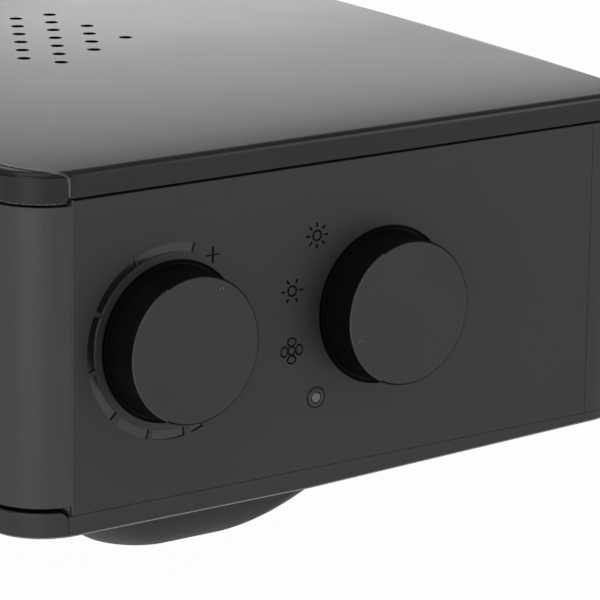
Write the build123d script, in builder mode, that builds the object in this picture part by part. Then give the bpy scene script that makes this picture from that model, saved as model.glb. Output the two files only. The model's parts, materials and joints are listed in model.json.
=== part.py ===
from build123d import *
import os
from math import cos, radians, sin, sqrt

os.makedirs("parts", exist_ok=True)

# Fan heater: a low, wide box on an oval pedestal. The outlet grille faces -Y, the intake faces +Y,
# the knob panel closes the +X end. The origin is the middle of the foot's underside. Millimetres.

# Body
BODY_W = 320.0  # end to end along X
END_DEPTH = 203.0  # front to back at the ends, before the corners are rounded
BOW = 9.3  # how far front and back bulge beyond that in the middle
BODY_H = 97.4
CORNER_R = 16.0
WALL = 2.2  # skirts, panels and floor
TOP_T = 2.4
TOP_EDGE_R = 2.0
TOP_SKIRT_H = 7.1
BOTTOM_SKIRT_H = 5.8
SKIRT_EDGE_R = 0.3  # rounding of the skirts' edges along the panels
UNDER_EDGE_R = 0.8  # rounding of the body's lower edge
SHADOW_GAP = 0.6  # dark line under the top cover's skirt
SEAT_GAP = 0.1  # between pieces that are assembled face to face
RISE_START_Y = -12.0  # from here backwards the underside rises
RISE_SLOPE = 0.029

# Panels between the two covers
TONGUE_T = 1.4  # rebated edge that laps behind the skirts
TONGUE_LAP = 3.0
TONGUE_GAP = 0.2
PANEL_EDGE_R = 0.2
POST_SPLIT_IN = 13.5  # front edge of the end panels, behind the front of the ends
REAR_SPLIT_IN = 17.5  # their rear edge, ahead of the back of the ends

# Front frame and outlet grille
BAR_SPLIT_IN = 12.1  # ends of the frame's bars on the body's sides, behind the front of the ends
BAR_STEP = 1.3  # the bars reach this much further over the grille than the side skirts
BAR_DEPTH = 12.0
LIP_T = 1.2  # the top cover's thin edge above the upper bar
BAR_EDGE_R = 0.5
GRILLE_GAP = 1.2  # dark joint between the bars and the grille
POST_W = 19.0  # the grille's corner posts, from the body's ends inwards
BLIND_GAP = 1.5  # from the duct's end plates to the walls that close the grille beside them
LOUVRE_T = 1.6
LOUVRE_DEPTH = 9.0
LOUVRE_PITCH = 8.4
LOUVRE_SET_BACK = 1.5
STAY_T = 2.0
STAY_XS = (-70.0, 0.0, 70.0)
LINK_T = 2.5
LINK_DEPTH = 7.0

# Intake slots
SLOT_H = 3.4
SLOT_RIB = 5.0  # between neighbouring columns
SLOT_MARGIN = 2.0  # the columns stay this far inside the duct's width
SLOT_PITCH_Z = 6.6
SLOT_COLUMNS = 6
SLOT_ROWS = 10

# Vent holes in the top: a round patch of a triangular lattice
VENT_D = 4.0
VENT_PITCH = 12.0
VENT_PATCH_R = 42.4
VENT_Y = -15.4

# Pedestal
FOOT_H = 37.0  # underside of the body above the floor
FOOT_TOP_X = 112.0  # half sizes where it meets the body
FOOT_TOP_Y = 58.0
FOOT_FLAT_X = 86.6  # half sizes of its flat underside
FOOT_FLAT_Y = 24.5
FOOT_END_FLAT = 9.5  # half the straight run at each end of the underside
FOOT_ROUNDNESS = 1.28  # exponent of the side's curve: 1 is straight, 2 an ellipse
FOOT_WALL = 3.0
FOOT_SECTIONS = (0.0, 0.35, 0.65, 0.88, 1.0)  # levels of its side, as shares of its height
FOOT_SHELF = 6.0  # under the heads of its screws
SOLE_IN_X = 5.6  # the rubber sole's edge inside the flat underside's
SOLE_IN_Y = 3.0
SOLE_END_FLAT = 9.5
SOLE_T = 3.0
SOLE_SHOWS = 1.2
SOLE_CHAMFER = 0.4
FOOT_SCREW_X = 40.0

# Knobs
KNOB_Z_OVER_BODY = 48.2  # height of both knobs above the body's lower edge
THERMOSTAT_IN = 44.1  # its axis, behind the front of the ends
KNOB_PITCH = 69.5  # from there to the mode knob's axis
KNOB_RECESS = 1.0  # depth of the round recess in the panel that each knob stands in
KNOB_GAP = 0.8  # from the knob's flange to the recess's wall
KNOB_SIDE_R = 20.75
KNOB_DRAFT = 0.75  # the face's radius is this much less
KNOB_FLANGE_W = 0.4
KNOB_FLANGE_H = 0.9
KNOB_H = 11.8
KNOB_CLEARANCE = 0.4  # above the recess's floor
KNOB_WALL = 2.0
KNOB_EDGE_R = 0.5
KNOB_HUB_R = 5.5
DIMPLE_R = 0.9
DIMPLE_DEPTH = 0.5
DIMPLE_IN = 2.4  # its middle, inside the face's edge
THERMOSTAT_DIMPLE_ANGLE = 60.0  # as seen on the panel, from the +Y direction towards +Z
MODE_DIMPLE_ANGLE = 195.0

# Knob shafts and what they turn
SPINDLE_R = 3.0
SPINDLE_CLEARANCE = 0.05
SPINDLE_DEPTH = 6.0  # how far it reaches behind the panel
FIT_GAP = 0.02  # between pieces pressed together
BUSHING_R = 4.75
BUSHING_CLEARANCE = 0.25
BUSHING_OUT = 3.0  # threaded bushing beyond the panel
NUT_FLATS = 14.0
NUT_T = 2.2
HUB_GAP = 0.4
THERMOSTAT_BODY_R = 14.0
THERMOSTAT_BODY_L = 12.0
THERMOSTAT_PLATE = 30.0
THERMOSTAT_PLATE_T = 2.0
SWITCH_BODY = 28.0
SWITCH_BODY_L = 20.0
HOUSING_CORNER_R = 2.0
TAB_W = 4.8
TAB_T = 0.8
TAB_L = 8.0
THERMOSTAT_TAB_PITCH = 9.6
SWITCH_TAB_PITCH = 7.2

# Indicator lamp
ICON_R = 32.0  # from the mode knob's axis
LAMP_ANGLE = 225.0
LENS_R = 1.4
LENS_SHOWS = 0.4
LENS_FLANGE_R = 2.6
LENS_FLANGE_T = 1.0
LAMP_R = 2.5
LAMP_L = 9.0

# Fan: a cross-flow impeller in a scroll
AXIS_IN = 77.5  # ahead of the back of the ends
AXIS_OVER_BODY = 53.0
FAN_R = 27.0
FAN_END_GAP = 4.0  # to the duct's sides
FAN_HUB_R = 7.0
FAN_HUB_L = 10.0
FAN_DISC_T = 1.6
BLADE_COUNT = 20
BLADE_DEPTH = 6.0
BLADE_RAKE = 16.0  # degrees that a blade leads by from its root to its tip
BLADE_HOLLOW = 1.5
BLADE_T = 0.8
SHAFT_R = 2.5
SHAFT_CLEARANCE = 0.05

# Scroll and duct
DUCT_IN = 68.0  # from the body's end to the duct, room for the motor and the controls
DUCT_T = 2.0
DUCT_LIP_R = 0.5
END_PLATE_T = 2.5
END_PLATE_R = 14.0
SHAFT_HOLE_R = 6.0
SCROLL_GAP = 5.0  # the scroll's radius beyond the impeller's
SCROLL_SHIFT = 2.5  # the scroll's centre lies this far ahead of and below the axis
SCROLL_LIP_ANGLE = 25.0
DUCT_FRONT_IN = 9.5  # its front edge, behind the front of the ends
DUCT_ROOM = 14.0  # over its roof
DUCT_REACH = 36.0  # end plates behind the axis
TONGUE_ANGLE = 150.0
TONGUE_RUN_GAP = 3.5
DUCT_BEND_GAP = 8.0  # flat roof behind the heating element
DECK_OVER_BODY = 9.0  # height of the bosses that carry the scroll
FLANGE_L = 12.0
FLANGE_W = 18.0
FLANGE_T = 3.0
FLANGE_IN = 20.0  # behind the duct's front edge and behind the axis

# Heating element
HEATER_SET_BACK = 20.0  # from the duct's front edge
HEATER_T = 18.0
HEATER_FRAME_W = 7.0
HEATER_GAP = 0.2
FIN_T = 0.9
FIN_COUNT = 26
TUBE_T = 3.0
TUBE_COUNT = 4
CORE_T = 12.0
CUTOUT_R = 8.0
CUTOUT_H = 5.0
CUTOUT_X = 45.0
CUTOUT_AHEAD = 7.0  # of the heating element's middle

# Fan motor: a shaded-pole motor left of the scroll
MOTOR_GAP = 21.5  # from the scroll's end plate to the lamination stack
STACK_T = 18.0
STACK_HALF_W = 26.0
STACK_ABOVE_AXIS = 24.0
STACK_BELOW_AXIS = 38.0
BORE_R = 14.0
ROTOR_GAP = 0.3
LEG_H = 8.0  # lower leg that carries the coil
WINDOW_H = 11.0
WINDOW_HALF_W = 16.0
COIL_SIDE = 8.0
BRACKET_T = 1.5
BRACKET_STAND = 7.0
BRACKET_HALF_W = 24.0
BRACKET_LEG = 5.0
BRACKET_DOWN = 8.0
BUSH_R = 5.0
BUSH_L = 5.0
MOTOR_SCREW_Y = 21.5
MOTOR_SCREW_UP = 18.0
MOTOR_PILLAR_R = 4.0

# Bearing at the far end of the impeller
PIN_R = 2.0
END_BUSH_R = 4.5
END_BUSH_FLANGE_R = 7.0
END_BUSH_FLANGE_T = 1.5

# Screws
SCREW_R = 1.7
SCREW_HOLE_R = 1.8
SCREW_HEAD_R = 3.4
SCREW_HEAD_H = 2.2
HEAD_ROOM = 0.4
PILLAR_R = 5.0
PILLAR_IN_X = 22.0  # inside the body's ends
PILLAR_IN_Y = 21.5  # inside the front and back of the ends
PILLAR_TOP_OVER_BODY = 55.0
PILLAR_SHELF = 3.0
SCREW_BITE = 10.0
SCREW_RUN_OUT = 2.0  # depth of a blind hole beyond its screw
HOUSING_BITE = 4.0

# Terminal block, tilt switch, cord gland
BLOCK_IN = 34.0  # inside the +X end
BLOCK_Y = -34.0
BLOCK_L = 34.0
BLOCK_W = 18.0
BLOCK_H = 13.0
BLOCK_POLES = 3
BLOCK_POST_SHARE = 0.7  # width of a pole's post, as a share of the pitch
TILT_IN = 32.0  # inside the -X end
TILT_BEHIND = 28.0  # the front pillar
TILT_L = 22.0
TILT_W = 16.0
TILT_H = 20.0
GLAND_IN = 42.0  # inside the +X end
GLAND_OVER_BODY = 20.0
GLAND_BORE_R = 3.6
GLAND_BARREL_R = 6.0
GLAND_FLANGE_R = 8.5
GLAND_FLANGE_T = 2.5
GLAND_EDGE_R = 0.8
GLAND_NUT_T = 3.0

# Worked out from the sizes above
BODY_Z = FOOT_H
TOP_Z = BODY_Z + BODY_H
TOP_SEAM_Z = TOP_Z - TOP_SKIRT_H
PANEL_Z = BODY_Z + BOTTOM_SKIRT_H
PANEL_H = TOP_SEAM_Z - SHADOW_GAP - PANEL_Z
PANEL_T = WALL + TONGUE_T
HALF_W = BODY_W / 2
HALF_DEPTH = END_DEPTH / 2
BOW_R = (HALF_W**2 + BOW**2) / (2 * BOW)
BOW_CENTRE_Y = HALF_DEPTH + BOW - BOW_R
POST_SPLIT_Y = POST_SPLIT_IN - HALF_DEPTH
REAR_SPLIT_Y = HALF_DEPTH - REAR_SPLIT_IN
BAR_SPLIT_Y = BAR_SPLIT_IN - HALF_DEPTH
POST_X = HALF_W - POST_W
THERMOSTAT_Y = THERMOSTAT_IN - HALF_DEPTH
MODE_Y = THERMOSTAT_Y + KNOB_PITCH
KNOB_Z = BODY_Z + KNOB_Z_OVER_BODY
KNOB_SEAT_X = HALF_W - KNOB_RECESS
KNOB_BASE_X = KNOB_SEAT_X + KNOB_CLEARANCE
KNOB_FACE_X = KNOB_BASE_X + KNOB_H
KNOB_FACE_R = KNOB_SIDE_R - KNOB_DRAFT
KNOB_FLANGE_R = KNOB_SIDE_R + KNOB_FLANGE_W
AXIS_Y = HALF_DEPTH - AXIS_IN
AXIS_Z = BODY_Z + AXIS_OVER_BODY
PILLAR_X = HALF_W - PILLAR_IN_X
PILLAR_Y = HALF_DEPTH - PILLAR_IN_Y
PILLAR_TOP_Z = BODY_Z + PILLAR_TOP_OVER_BODY
DECK_Z = BODY_Z + DECK_OVER_BODY
SCROLL_Y = AXIS_Y - SCROLL_SHIFT
SCROLL_Z = AXIS_Z - SCROLL_SHIFT
SCROLL_R = FAN_R + SCROLL_GAP
DUCT_HALF_W = HALF_W - DUCT_IN
FAN_HALF_L = DUCT_HALF_W - FAN_END_GAP
BLIND_X = DUCT_HALF_W + END_PLATE_T + BLIND_GAP
DUCT_FRONT_Y = DUCT_FRONT_IN - HALF_DEPTH
DUCT_REAR_Y = AXIS_Y + DUCT_REACH
DUCT_FLOOR_Z = SCROLL_Z - SCROLL_R
CAVITY_TOP_Z = TOP_Z - TOP_T
DUCT_ROOF_Z = CAVITY_TOP_Z - DUCT_ROOM
DUCT_H = DUCT_ROOF_Z - DUCT_FLOOR_Z
HEATER_Y = DUCT_FRONT_Y + HEATER_SET_BACK + HEATER_T / 2
DUCT_BEND_Y = HEATER_Y + HEATER_T / 2 + DUCT_BEND_GAP
SLOT_PITCH_X = 2 * (DUCT_HALF_W - SLOT_MARGIN) / SLOT_COLUMNS
SLOT_W = SLOT_PITCH_X - SLOT_RIB
BLOCK_X = HALF_W - BLOCK_IN
TILT_X = TILT_IN - HALF_W
TILT_Y = TILT_BEHIND - PILLAR_Y
GLAND_X = HALF_W - GLAND_IN
FOOT_CORNER_R = FOOT_FLAT_Y - FOOT_END_FLAT
SOLE_X = FOOT_FLAT_X - SOLE_IN_X
SOLE_Y = FOOT_FLAT_Y - SOLE_IN_Y
SOLE_CORNER_R = SOLE_Y - SOLE_END_FLAT
LOWER_BAR_TOP_Z = PANEL_Z + BAR_STEP
UPPER_BAR_Z = TOP_SEAM_Z - BAR_STEP
GRILLE_Z = LOWER_BAR_TOP_Z + GRILLE_GAP
GRILLE_H = UPPER_BAR_Z - SHADOW_GAP - GRILLE_Z
LAMP_Y = MODE_Y + ICON_R * cos(radians(LAMP_ANGLE))
LAMP_Z = KNOB_Z + ICON_R * sin(radians(LAMP_ANGLE))
FAR = 400.0  # larger than the object, for cutting regions
CUT_PAST = 1.0  # how far a cut runs beyond the face it starts from
SHARPEST_CORNER_R = 1.0


def outline(inset=0.0):
    """Plan of the body drawn in by inset: flat ends, bowed front and back, rounded corners."""
    bow_r = BOW_R - inset
    half_x = HALF_W - inset
    end_y = BOW_CENTRE_Y + sqrt(bow_r**2 - half_x**2)
    mid_y = BOW_CENTRE_Y + bow_r
    with BuildSketch() as plan:
        with BuildLine():
            ThreePointArc((-half_x, -end_y), (0, -mid_y), (half_x, -end_y))
            Line((half_x, -end_y), (half_x, end_y))
            ThreePointArc((half_x, end_y), (0, mid_y), (-half_x, end_y))
            Line((-half_x, end_y), (-half_x, -end_y))
        make_face()
        fillet(plan.vertices(), max(CORNER_R - inset, SHARPEST_CORNER_R))
    return plan.sketch


def slab(z, height, inset=0.0):
    """Solid of the body's plan from z upwards."""
    with BuildPart() as solid:
        with BuildSketch(Plane.XY.offset(z)):
            add(outline(inset))
        extrude(amount=height)
    return solid.part


def sleeve(z, height, outer, inner):
    """Ring of the body's plan between two insets."""
    with BuildPart() as ring:
        with BuildSketch(Plane.XY.offset(z)):
            add(outline(outer))
            add(outline(inner), mode=Mode.SUBTRACT)
        extrude(amount=height)
    return ring.part


def block(x0, x1, y0, y1, z0, z1):
    """Box between two corners."""
    with BuildPart() as box:
        with Locations(((x0 + x1) / 2, (y0 + y1) / 2, (z0 + z1) / 2)):
            Box(x1 - x0, y1 - y0, z1 - z0)
    return box.part


def rod(plane, radius, length, hole=0.0):
    """Cylinder or tube that grows from a plane along its normal."""
    with BuildPart() as bar:
        with BuildSketch(plane):
            Circle(radius)
            if hole > 0:
                Circle(hole, mode=Mode.SUBTRACT)
        extrude(amount=length)
    return bar.part


def facing_x(x, y, z):
    """Plane whose normal is +X and whose own axes are +Y and +Z."""
    return Plane(origin=(x, y, z), x_dir=(0, 1, 0), z_dir=(1, 0, 0))


def below_underside(lift=0.0):
    """Everything under the body's underside, which rises towards the back, moved up by lift."""
    with BuildPart() as wedge:
        with BuildSketch(Plane.YZ.offset(-FAR / 2)):
            with BuildLine():
                Polyline(
                    (-FAR, BODY_Z + lift),
                    (RISE_START_Y, BODY_Z + lift),
                    (FAR, BODY_Z + lift + (FAR - RISE_START_Y) * RISE_SLOPE),
                    (FAR, -FAR),
                    (-FAR, -FAR),
                    close=True,
                )
            make_face()
        extrude(amount=FAR)
    return wedge.part


def underside_z(y):
    """Height of the body's underside at y."""
    return BODY_Z + max(y - RISE_START_Y, 0.0) * RISE_SLOPE


def back_y(x):
    """Outer face of the bowed back at x."""
    return BOW_CENTRE_Y + sqrt(BOW_R**2 - x**2)


def screw(plane, length):
    """Pan-head screw: its shank grows from the plane along the normal, its head the other way."""
    with BuildPart() as fastener:
        with BuildSketch(plane):
            Circle(SCREW_R)
        extrude(amount=length)
        with BuildSketch(plane):
            Circle(SCREW_HEAD_R)
        extrude(amount=-SCREW_HEAD_H)
    return fastener.part


PILLARS = [(sx * PILLAR_X, sy * PILLAR_Y) for sx in (-1, 1) for sy in (-1, 1)]
FLANGE_YS = (DUCT_FRONT_Y + FLANGE_IN, AXIS_Y + FLANGE_IN)
DECK_BOSSES = [(sx * (DUCT_HALF_W + END_PLATE_T + FLANGE_L / 2), y) for sx in (-1, 1) for y in FLANGE_YS]
FOOT_SCREWS = [(sx * FOOT_SCREW_X, 0.0) for sx in (-1, 1)]
VENT_ROW = VENT_PITCH * sqrt(3) / 2
VENT_REACH = int(VENT_PATCH_R / VENT_ROW) + 1
VENT_LATTICE = [
    (row * VENT_ROW, (column + (row % 2) / 2) * VENT_PITCH)
    for row in range(-VENT_REACH, VENT_REACH + 1)
    for column in range(-VENT_REACH - 1, VENT_REACH + 1)
]
VENTS = [(x, VENT_Y + y) for x, y in VENT_LATTICE if x**2 + y**2 <= VENT_PATCH_R**2]

# Top cover: a shallow tray with a skirt, cut back along the front to a thin lip over the frame
with BuildPart() as top_cover:
    with BuildSketch(Plane.XY.offset(TOP_SEAM_Z)):
        add(outline())
    extrude(amount=TOP_SKIRT_H)
    fillet(top_cover.faces().sort_by(Axis.Z)[-1].edges(), TOP_EDGE_R)
    fillet(top_cover.faces().sort_by(Axis.Z)[0].edges(), SKIRT_EDGE_R)
    add(slab(TOP_SEAM_Z, TOP_SKIRT_H - TOP_T, WALL), mode=Mode.SUBTRACT)
    with BuildSketch(Plane.XY.offset(TOP_SEAM_Z)):
        add(outline(-CUT_PAST))
        add(outline(BAR_DEPTH + TONGUE_GAP), mode=Mode.SUBTRACT)
        with Locations((0, BAR_SPLIT_Y + FAR / 2)):
            Rectangle(FAR, FAR, mode=Mode.SUBTRACT)
    extrude(amount=TOP_SKIRT_H - LIP_T, mode=Mode.SUBTRACT)
    with BuildSketch(Plane.XY.offset(PILLAR_TOP_Z)):
        with Locations(*PILLARS):
            Circle(PILLAR_R)
    extrude(amount=CAVITY_TOP_Z - PILLAR_TOP_Z + TOP_T / 2)
    with BuildSketch(Plane.XY.offset(PILLAR_TOP_Z)):
        with Locations(*PILLARS):
            Circle(SCREW_HOLE_R)
    extrude(amount=SCREW_BITE + SCREW_RUN_OUT, mode=Mode.SUBTRACT)
    with BuildSketch(Plane.XY.offset(TOP_Z)):
        with Locations(*VENTS):
            Circle(VENT_D / 2)
    extrude(amount=-2 * TOP_T, mode=Mode.SUBTRACT)
top_cover.part.label = "top_cover"
export_step(top_cover.part, "parts/top_cover.step")

# Bottom cover: floor, low skirt, screw pillars and the bosses that carry the scroll
with BuildPart() as bottom_cover:
    add(slab(BODY_Z, BOTTOM_SKIRT_H))
    fillet(bottom_cover.faces().sort_by(Axis.Z)[-1].edges(), SKIRT_EDGE_R)
    add(below_underside(), mode=Mode.SUBTRACT)
    underside = bottom_cover.faces().filter_by(lambda face: face.normal_at().Z < -0.9)
    fillet(underside.edges().filter_by(Axis.X, reverse=True), UNDER_EDGE_R)
    with BuildPart(mode=Mode.PRIVATE) as inside:
        add(slab(BODY_Z, BOTTOM_SKIRT_H + CUT_PAST, WALL))
        add(below_underside(WALL), mode=Mode.SUBTRACT)
    add(inside.part, mode=Mode.SUBTRACT)
    with BuildSketch(Plane.XY.offset(BODY_Z - CUT_PAST)):
        add(outline(-CUT_PAST))
        add(outline(BAR_DEPTH + TONGUE_GAP), mode=Mode.SUBTRACT)
        with Locations((0, BAR_SPLIT_Y + FAR / 2)):
            Rectangle(FAR, FAR, mode=Mode.SUBTRACT)
    extrude(amount=BOTTOM_SKIRT_H + 2 * CUT_PAST, mode=Mode.SUBTRACT)
    for x, y in PILLARS:
        base_z = underside_z(y + PILLAR_R) + WALL / 2
        add(rod(Plane((x, y, base_z)), PILLAR_R, PILLAR_TOP_Z - SEAT_GAP - base_z))
        add(rod(Plane((x, y, 0)), SCREW_HEAD_R + HEAD_ROOM, PILLAR_TOP_Z - PILLAR_SHELF), mode=Mode.SUBTRACT)
        add(rod(Plane((x, y, 0)), SCREW_HOLE_R, PILLAR_TOP_Z), mode=Mode.SUBTRACT)
    for x, y in DECK_BOSSES:
        base_z = underside_z(y) + WALL / 2
        add(rod(Plane((x, y, base_z)), PILLAR_R, DECK_Z - base_z))
        add(rod(Plane((x, y, base_z + WALL)), SCREW_HOLE_R, DECK_Z - base_z), mode=Mode.SUBTRACT)
    for x, y in FOOT_SCREWS:
        add(rod(Plane((x, y, underside_z(y) + WALL / 2)), PILLAR_R, SCREW_BITE + WALL))
        add(rod(Plane((x, y, 0)), SCREW_HOLE_R, BODY_Z + SCREW_BITE + CUT_PAST), mode=Mode.SUBTRACT)
bottom_cover.part.label = "bottom_cover"
export_step(bottom_cover.part, "parts/bottom_cover.step")


def rebated_wall(z, height):
    """Wall of the body with a tongue along its top and bottom that laps behind the covers' skirts."""
    with BuildPart() as wall:
        add(slab(z, height))
        fillet(wall.faces().filter_by(Axis.Z).edges(), PANEL_EDGE_R)
        add(slab(z, height, PANEL_T), mode=Mode.SUBTRACT)
        add(sleeve(z - TONGUE_LAP, height + 2 * TONGUE_LAP, WALL + TONGUE_GAP, PANEL_T))
        add(below_underside(WALL + TONGUE_GAP), mode=Mode.SUBTRACT)
    return wall.part


# Knob panel, the +X end of the body, with a round recess for each knob
with BuildPart() as control_panel:
    add(rebated_wall(PANEL_Z, PANEL_H))
    add(block(HALF_W - CORNER_R, FAR, POST_SPLIT_Y, REAR_SPLIT_Y, 0, FAR), mode=Mode.INTERSECT)
    with BuildSketch(facing_x(KNOB_SEAT_X, 0, 0)):
        with Locations((THERMOSTAT_Y, KNOB_Z), (MODE_Y, KNOB_Z)):
            Circle(KNOB_FLANGE_R + KNOB_GAP)
    extrude(amount=KNOB_RECESS + CUT_PAST, mode=Mode.SUBTRACT)
    with BuildSketch(facing_x(HALF_W, 0, 0)):
        with Locations((THERMOSTAT_Y, KNOB_Z), (MODE_Y, KNOB_Z)):
            Circle(BUSHING_R + BUSHING_CLEARANCE)
    extrude(amount=-2 * PANEL_T, mode=Mode.SUBTRACT)
    add(rod(facing_x(HALF_W - 2 * PANEL_T, LAMP_Y, LAMP_Z), LENS_R + SEAT_GAP, 3 * PANEL_T), mode=Mode.SUBTRACT)
control_panel.part.label = "control_panel"
export_step(control_panel.part, "parts/control_panel.step")

# Plain panel at the -X end
with BuildPart() as left_end_panel:
    add(rebated_wall(PANEL_Z, PANEL_H))
    add(block(-FAR, CORNER_R - HALF_W, POST_SPLIT_Y, REAR_SPLIT_Y, 0, FAR), mode=Mode.INTERSECT)
left_end_panel.part.label = "left_end_panel"
export_step(left_end_panel.part, "parts/left_end_panel.step")

# Rear panel: wraps round both rear corners, with the intake slots and the cord gland's hole
GLAND_Z = BODY_Z + GLAND_OVER_BODY
gland_normal = (GLAND_X / BOW_R, sqrt(1 - (GLAND_X / BOW_R) ** 2), 0)
gland_plane = Plane(origin=(GLAND_X, back_y(GLAND_X), GLAND_Z), z_dir=gland_normal)
with BuildPart() as rear_panel:
    add(rebated_wall(PANEL_Z, PANEL_H))
    add(block(-FAR, FAR, REAR_SPLIT_Y + SEAT_GAP, FAR, 0, FAR), mode=Mode.INTERSECT)
    with BuildSketch(Plane.XZ.offset(-FAR / 2)):
        with Locations((0, PANEL_Z + PANEL_H / 2)):
            with GridLocations(SLOT_PITCH_X, SLOT_PITCH_Z, SLOT_COLUMNS, SLOT_ROWS):
                Rectangle(SLOT_W, SLOT_H)
    extrude(amount=FAR / 2, mode=Mode.SUBTRACT)
    add(rod(gland_plane.offset(-2 * PANEL_T), GLAND_BARREL_R + SEAT_GAP, 3 * PANEL_T), mode=Mode.SUBTRACT)
rear_panel.part.label = "rear_panel"
export_step(rear_panel.part, "parts/rear_panel.step")

# Front frame: upper and lower bars that wrap round the front corners, joined behind the grille
with BuildPart() as front_frame:
    add(slab(BODY_Z, LOWER_BAR_TOP_Z - BODY_Z))
    fillet(front_frame.faces().sort_by(Axis.Z)[0].edges(), UNDER_EDGE_R)
    add(slab(UPPER_BAR_Z, TOP_Z - LIP_T - SEAT_GAP - UPPER_BAR_Z))
    add(slab(0, FAR, BAR_DEPTH), mode=Mode.SUBTRACT)
    add(block(-FAR, FAR, -FAR, BAR_SPLIT_Y - SEAT_GAP, 0, FAR), mode=Mode.INTERSECT)
    fillet(front_frame.edges().filter_by_position(Axis.Z, LOWER_BAR_TOP_Z, UPPER_BAR_Z), BAR_EDGE_R)
    for side in (-1, 1):
        with BuildSketch(Plane.XY.offset(BODY_Z + WALL)):
            with Locations((side * (POST_X + LINK_T), BAR_SPLIT_Y - LINK_DEPTH / 2)):
                Rectangle(LINK_T, LINK_DEPTH)
        extrude(amount=TOP_Z - LIP_T - 2 * WALL - BODY_Z)
front_frame.part.label = "front_frame"
export_step(front_frame.part, "parts/front_frame.step")

# Outlet grille: corner posts, bowed louvres and upright stays in one moulding
louvre_count = int((GRILLE_H - 2 * LOUVRE_T) / LOUVRE_PITCH)
louvre_first_z = GRILLE_Z + (GRILLE_H - (louvre_count - 1) * LOUVRE_PITCH - LOUVRE_T) / 2
louvre_zs = [louvre_first_z + level * LOUVRE_PITCH for level in range(louvre_count)]
with BuildSketch() as louvre_plan:
    add(outline(LOUVRE_SET_BACK))
    add(outline(LOUVRE_SET_BACK + LOUVRE_DEPTH), mode=Mode.SUBTRACT)
    with Locations((0, -HALF_DEPTH)):
        Rectangle(2 * (POST_X + CUT_PAST), HALF_DEPTH, mode=Mode.INTERSECT)
with BuildSketch() as blind_plan:
    add(outline(LOUVRE_SET_BACK + LOUVRE_DEPTH - WALL))
    add(outline(LOUVRE_SET_BACK + LOUVRE_DEPTH), mode=Mode.SUBTRACT)
    with Locations(*[(side * (BLIND_X + POST_X + CUT_PAST) / 2, -HALF_DEPTH) for side in (-1, 1)]):
        Rectangle(POST_X + CUT_PAST - BLIND_X, HALF_DEPTH, mode=Mode.INTERSECT)
with BuildSketch() as stay_plan:
    add(outline(LOUVRE_SET_BACK + LOUVRE_DEPTH / 3))
    add(outline(LOUVRE_SET_BACK + LOUVRE_DEPTH), mode=Mode.SUBTRACT)
    with Locations(*[(x, -HALF_DEPTH) for x in STAY_XS]):
        Rectangle(STAY_T, HALF_DEPTH, mode=Mode.INTERSECT)
with BuildPart() as front_grille:
    add(slab(GRILLE_Z, GRILLE_H))
    fillet(front_grille.faces().filter_by(Axis.Z).edges(), PANEL_EDGE_R)
    add(slab(GRILLE_Z, GRILLE_H, PANEL_T), mode=Mode.SUBTRACT)
    add(block(-POST_X, POST_X, -FAR, 0, 0, FAR), mode=Mode.SUBTRACT)
    add(block(-FAR, FAR, -FAR, POST_SPLIT_Y - SEAT_GAP, 0, FAR), mode=Mode.INTERSECT)
    for z in [GRILLE_Z] + louvre_zs + [GRILLE_Z + GRILLE_H - LOUVRE_T]:
        with BuildSketch(Plane.XY.offset(z)):
            add(louvre_plan.sketch)
        extrude(amount=LOUVRE_T)
    with BuildSketch(Plane.XY.offset(GRILLE_Z)):
        add(stay_plan.sketch)
        add(blind_plan.sketch)
    extrude(amount=GRILLE_H)
front_grille.part.label = "front_grille"
export_step(front_grille.part, "parts/front_grille.step")


def foot_form(inset, bottom_z):
    """Bowl with an oval plan: its curved side runs out from the flat underside to the body."""
    with BuildPart() as bowl:
        for share in FOOT_SECTIONS:
            flare = (1 - share**FOOT_ROUNDNESS) ** (1 / FOOT_ROUNDNESS)
            half_x = FOOT_FLAT_X + (FOOT_TOP_X - FOOT_FLAT_X) * flare - inset
            half_y = FOOT_FLAT_Y + (FOOT_TOP_Y - FOOT_FLAT_Y) * flare - inset
            with BuildSketch(Plane.XY.offset(BODY_Z + (bottom_z - BODY_Z) * share)):
                RectangleRounded(2 * half_x, 2 * half_y, FOOT_CORNER_R - inset)
        loft()
        extrude(bowl.faces().sort_by(Axis.Z)[-1], amount=FOOT_TOP_Y * RISE_SLOPE * 2)
        add(below_underside(-SEAT_GAP), mode=Mode.INTERSECT)
    return bowl.part


# Pedestal: hollow bowl with a recess for the sole and pillars for its screws
with BuildPart() as pedestal_foot:
    add(foot_form(0.0, SOLE_SHOWS))
    add(foot_form(FOOT_WALL, SOLE_T + FOOT_WALL), mode=Mode.SUBTRACT)
    for x, y in FOOT_SCREWS:
        add(rod(Plane((x, y, SOLE_SHOWS)), PILLAR_R, BODY_Z - SEAT_GAP - SOLE_SHOWS))
        add(rod(Plane((x, y, 0)), SCREW_HEAD_R + HEAD_ROOM, BODY_Z - FOOT_SHELF), mode=Mode.SUBTRACT)
        add(rod(Plane((x, y, 0)), SCREW_HOLE_R, BODY_Z), mode=Mode.SUBTRACT)
    with BuildSketch(Plane.XY.offset(SOLE_SHOWS)):
        RectangleRounded(2 * (SOLE_X + SEAT_GAP), 2 * (SOLE_Y + SEAT_GAP), SOLE_CORNER_R + SEAT_GAP)
    extrude(amount=SOLE_T + SEAT_GAP - SOLE_SHOWS, mode=Mode.SUBTRACT)
pedestal_foot.part.label = "pedestal_foot"
export_step(pedestal_foot.part, "parts/pedestal_foot.step")

# Rubber sole that the foot stands on, open under the screws
with BuildPart() as foot_sole:
    with BuildSketch():
        RectangleRounded(2 * SOLE_X, 2 * SOLE_Y, SOLE_CORNER_R)
    extrude(amount=SOLE_T)
    chamfer(foot_sole.edges().group_by(Axis.Z)[0], SOLE_CHAMFER)
    with BuildSketch():
        with Locations(*FOOT_SCREWS):
            Circle(SCREW_HEAD_R + HEAD_ROOM)
    extrude(amount=SOLE_T, mode=Mode.SUBTRACT)
foot_sole.part.label = "foot_sole"
export_step(foot_sole.part, "parts/foot_sole.step")


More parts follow.
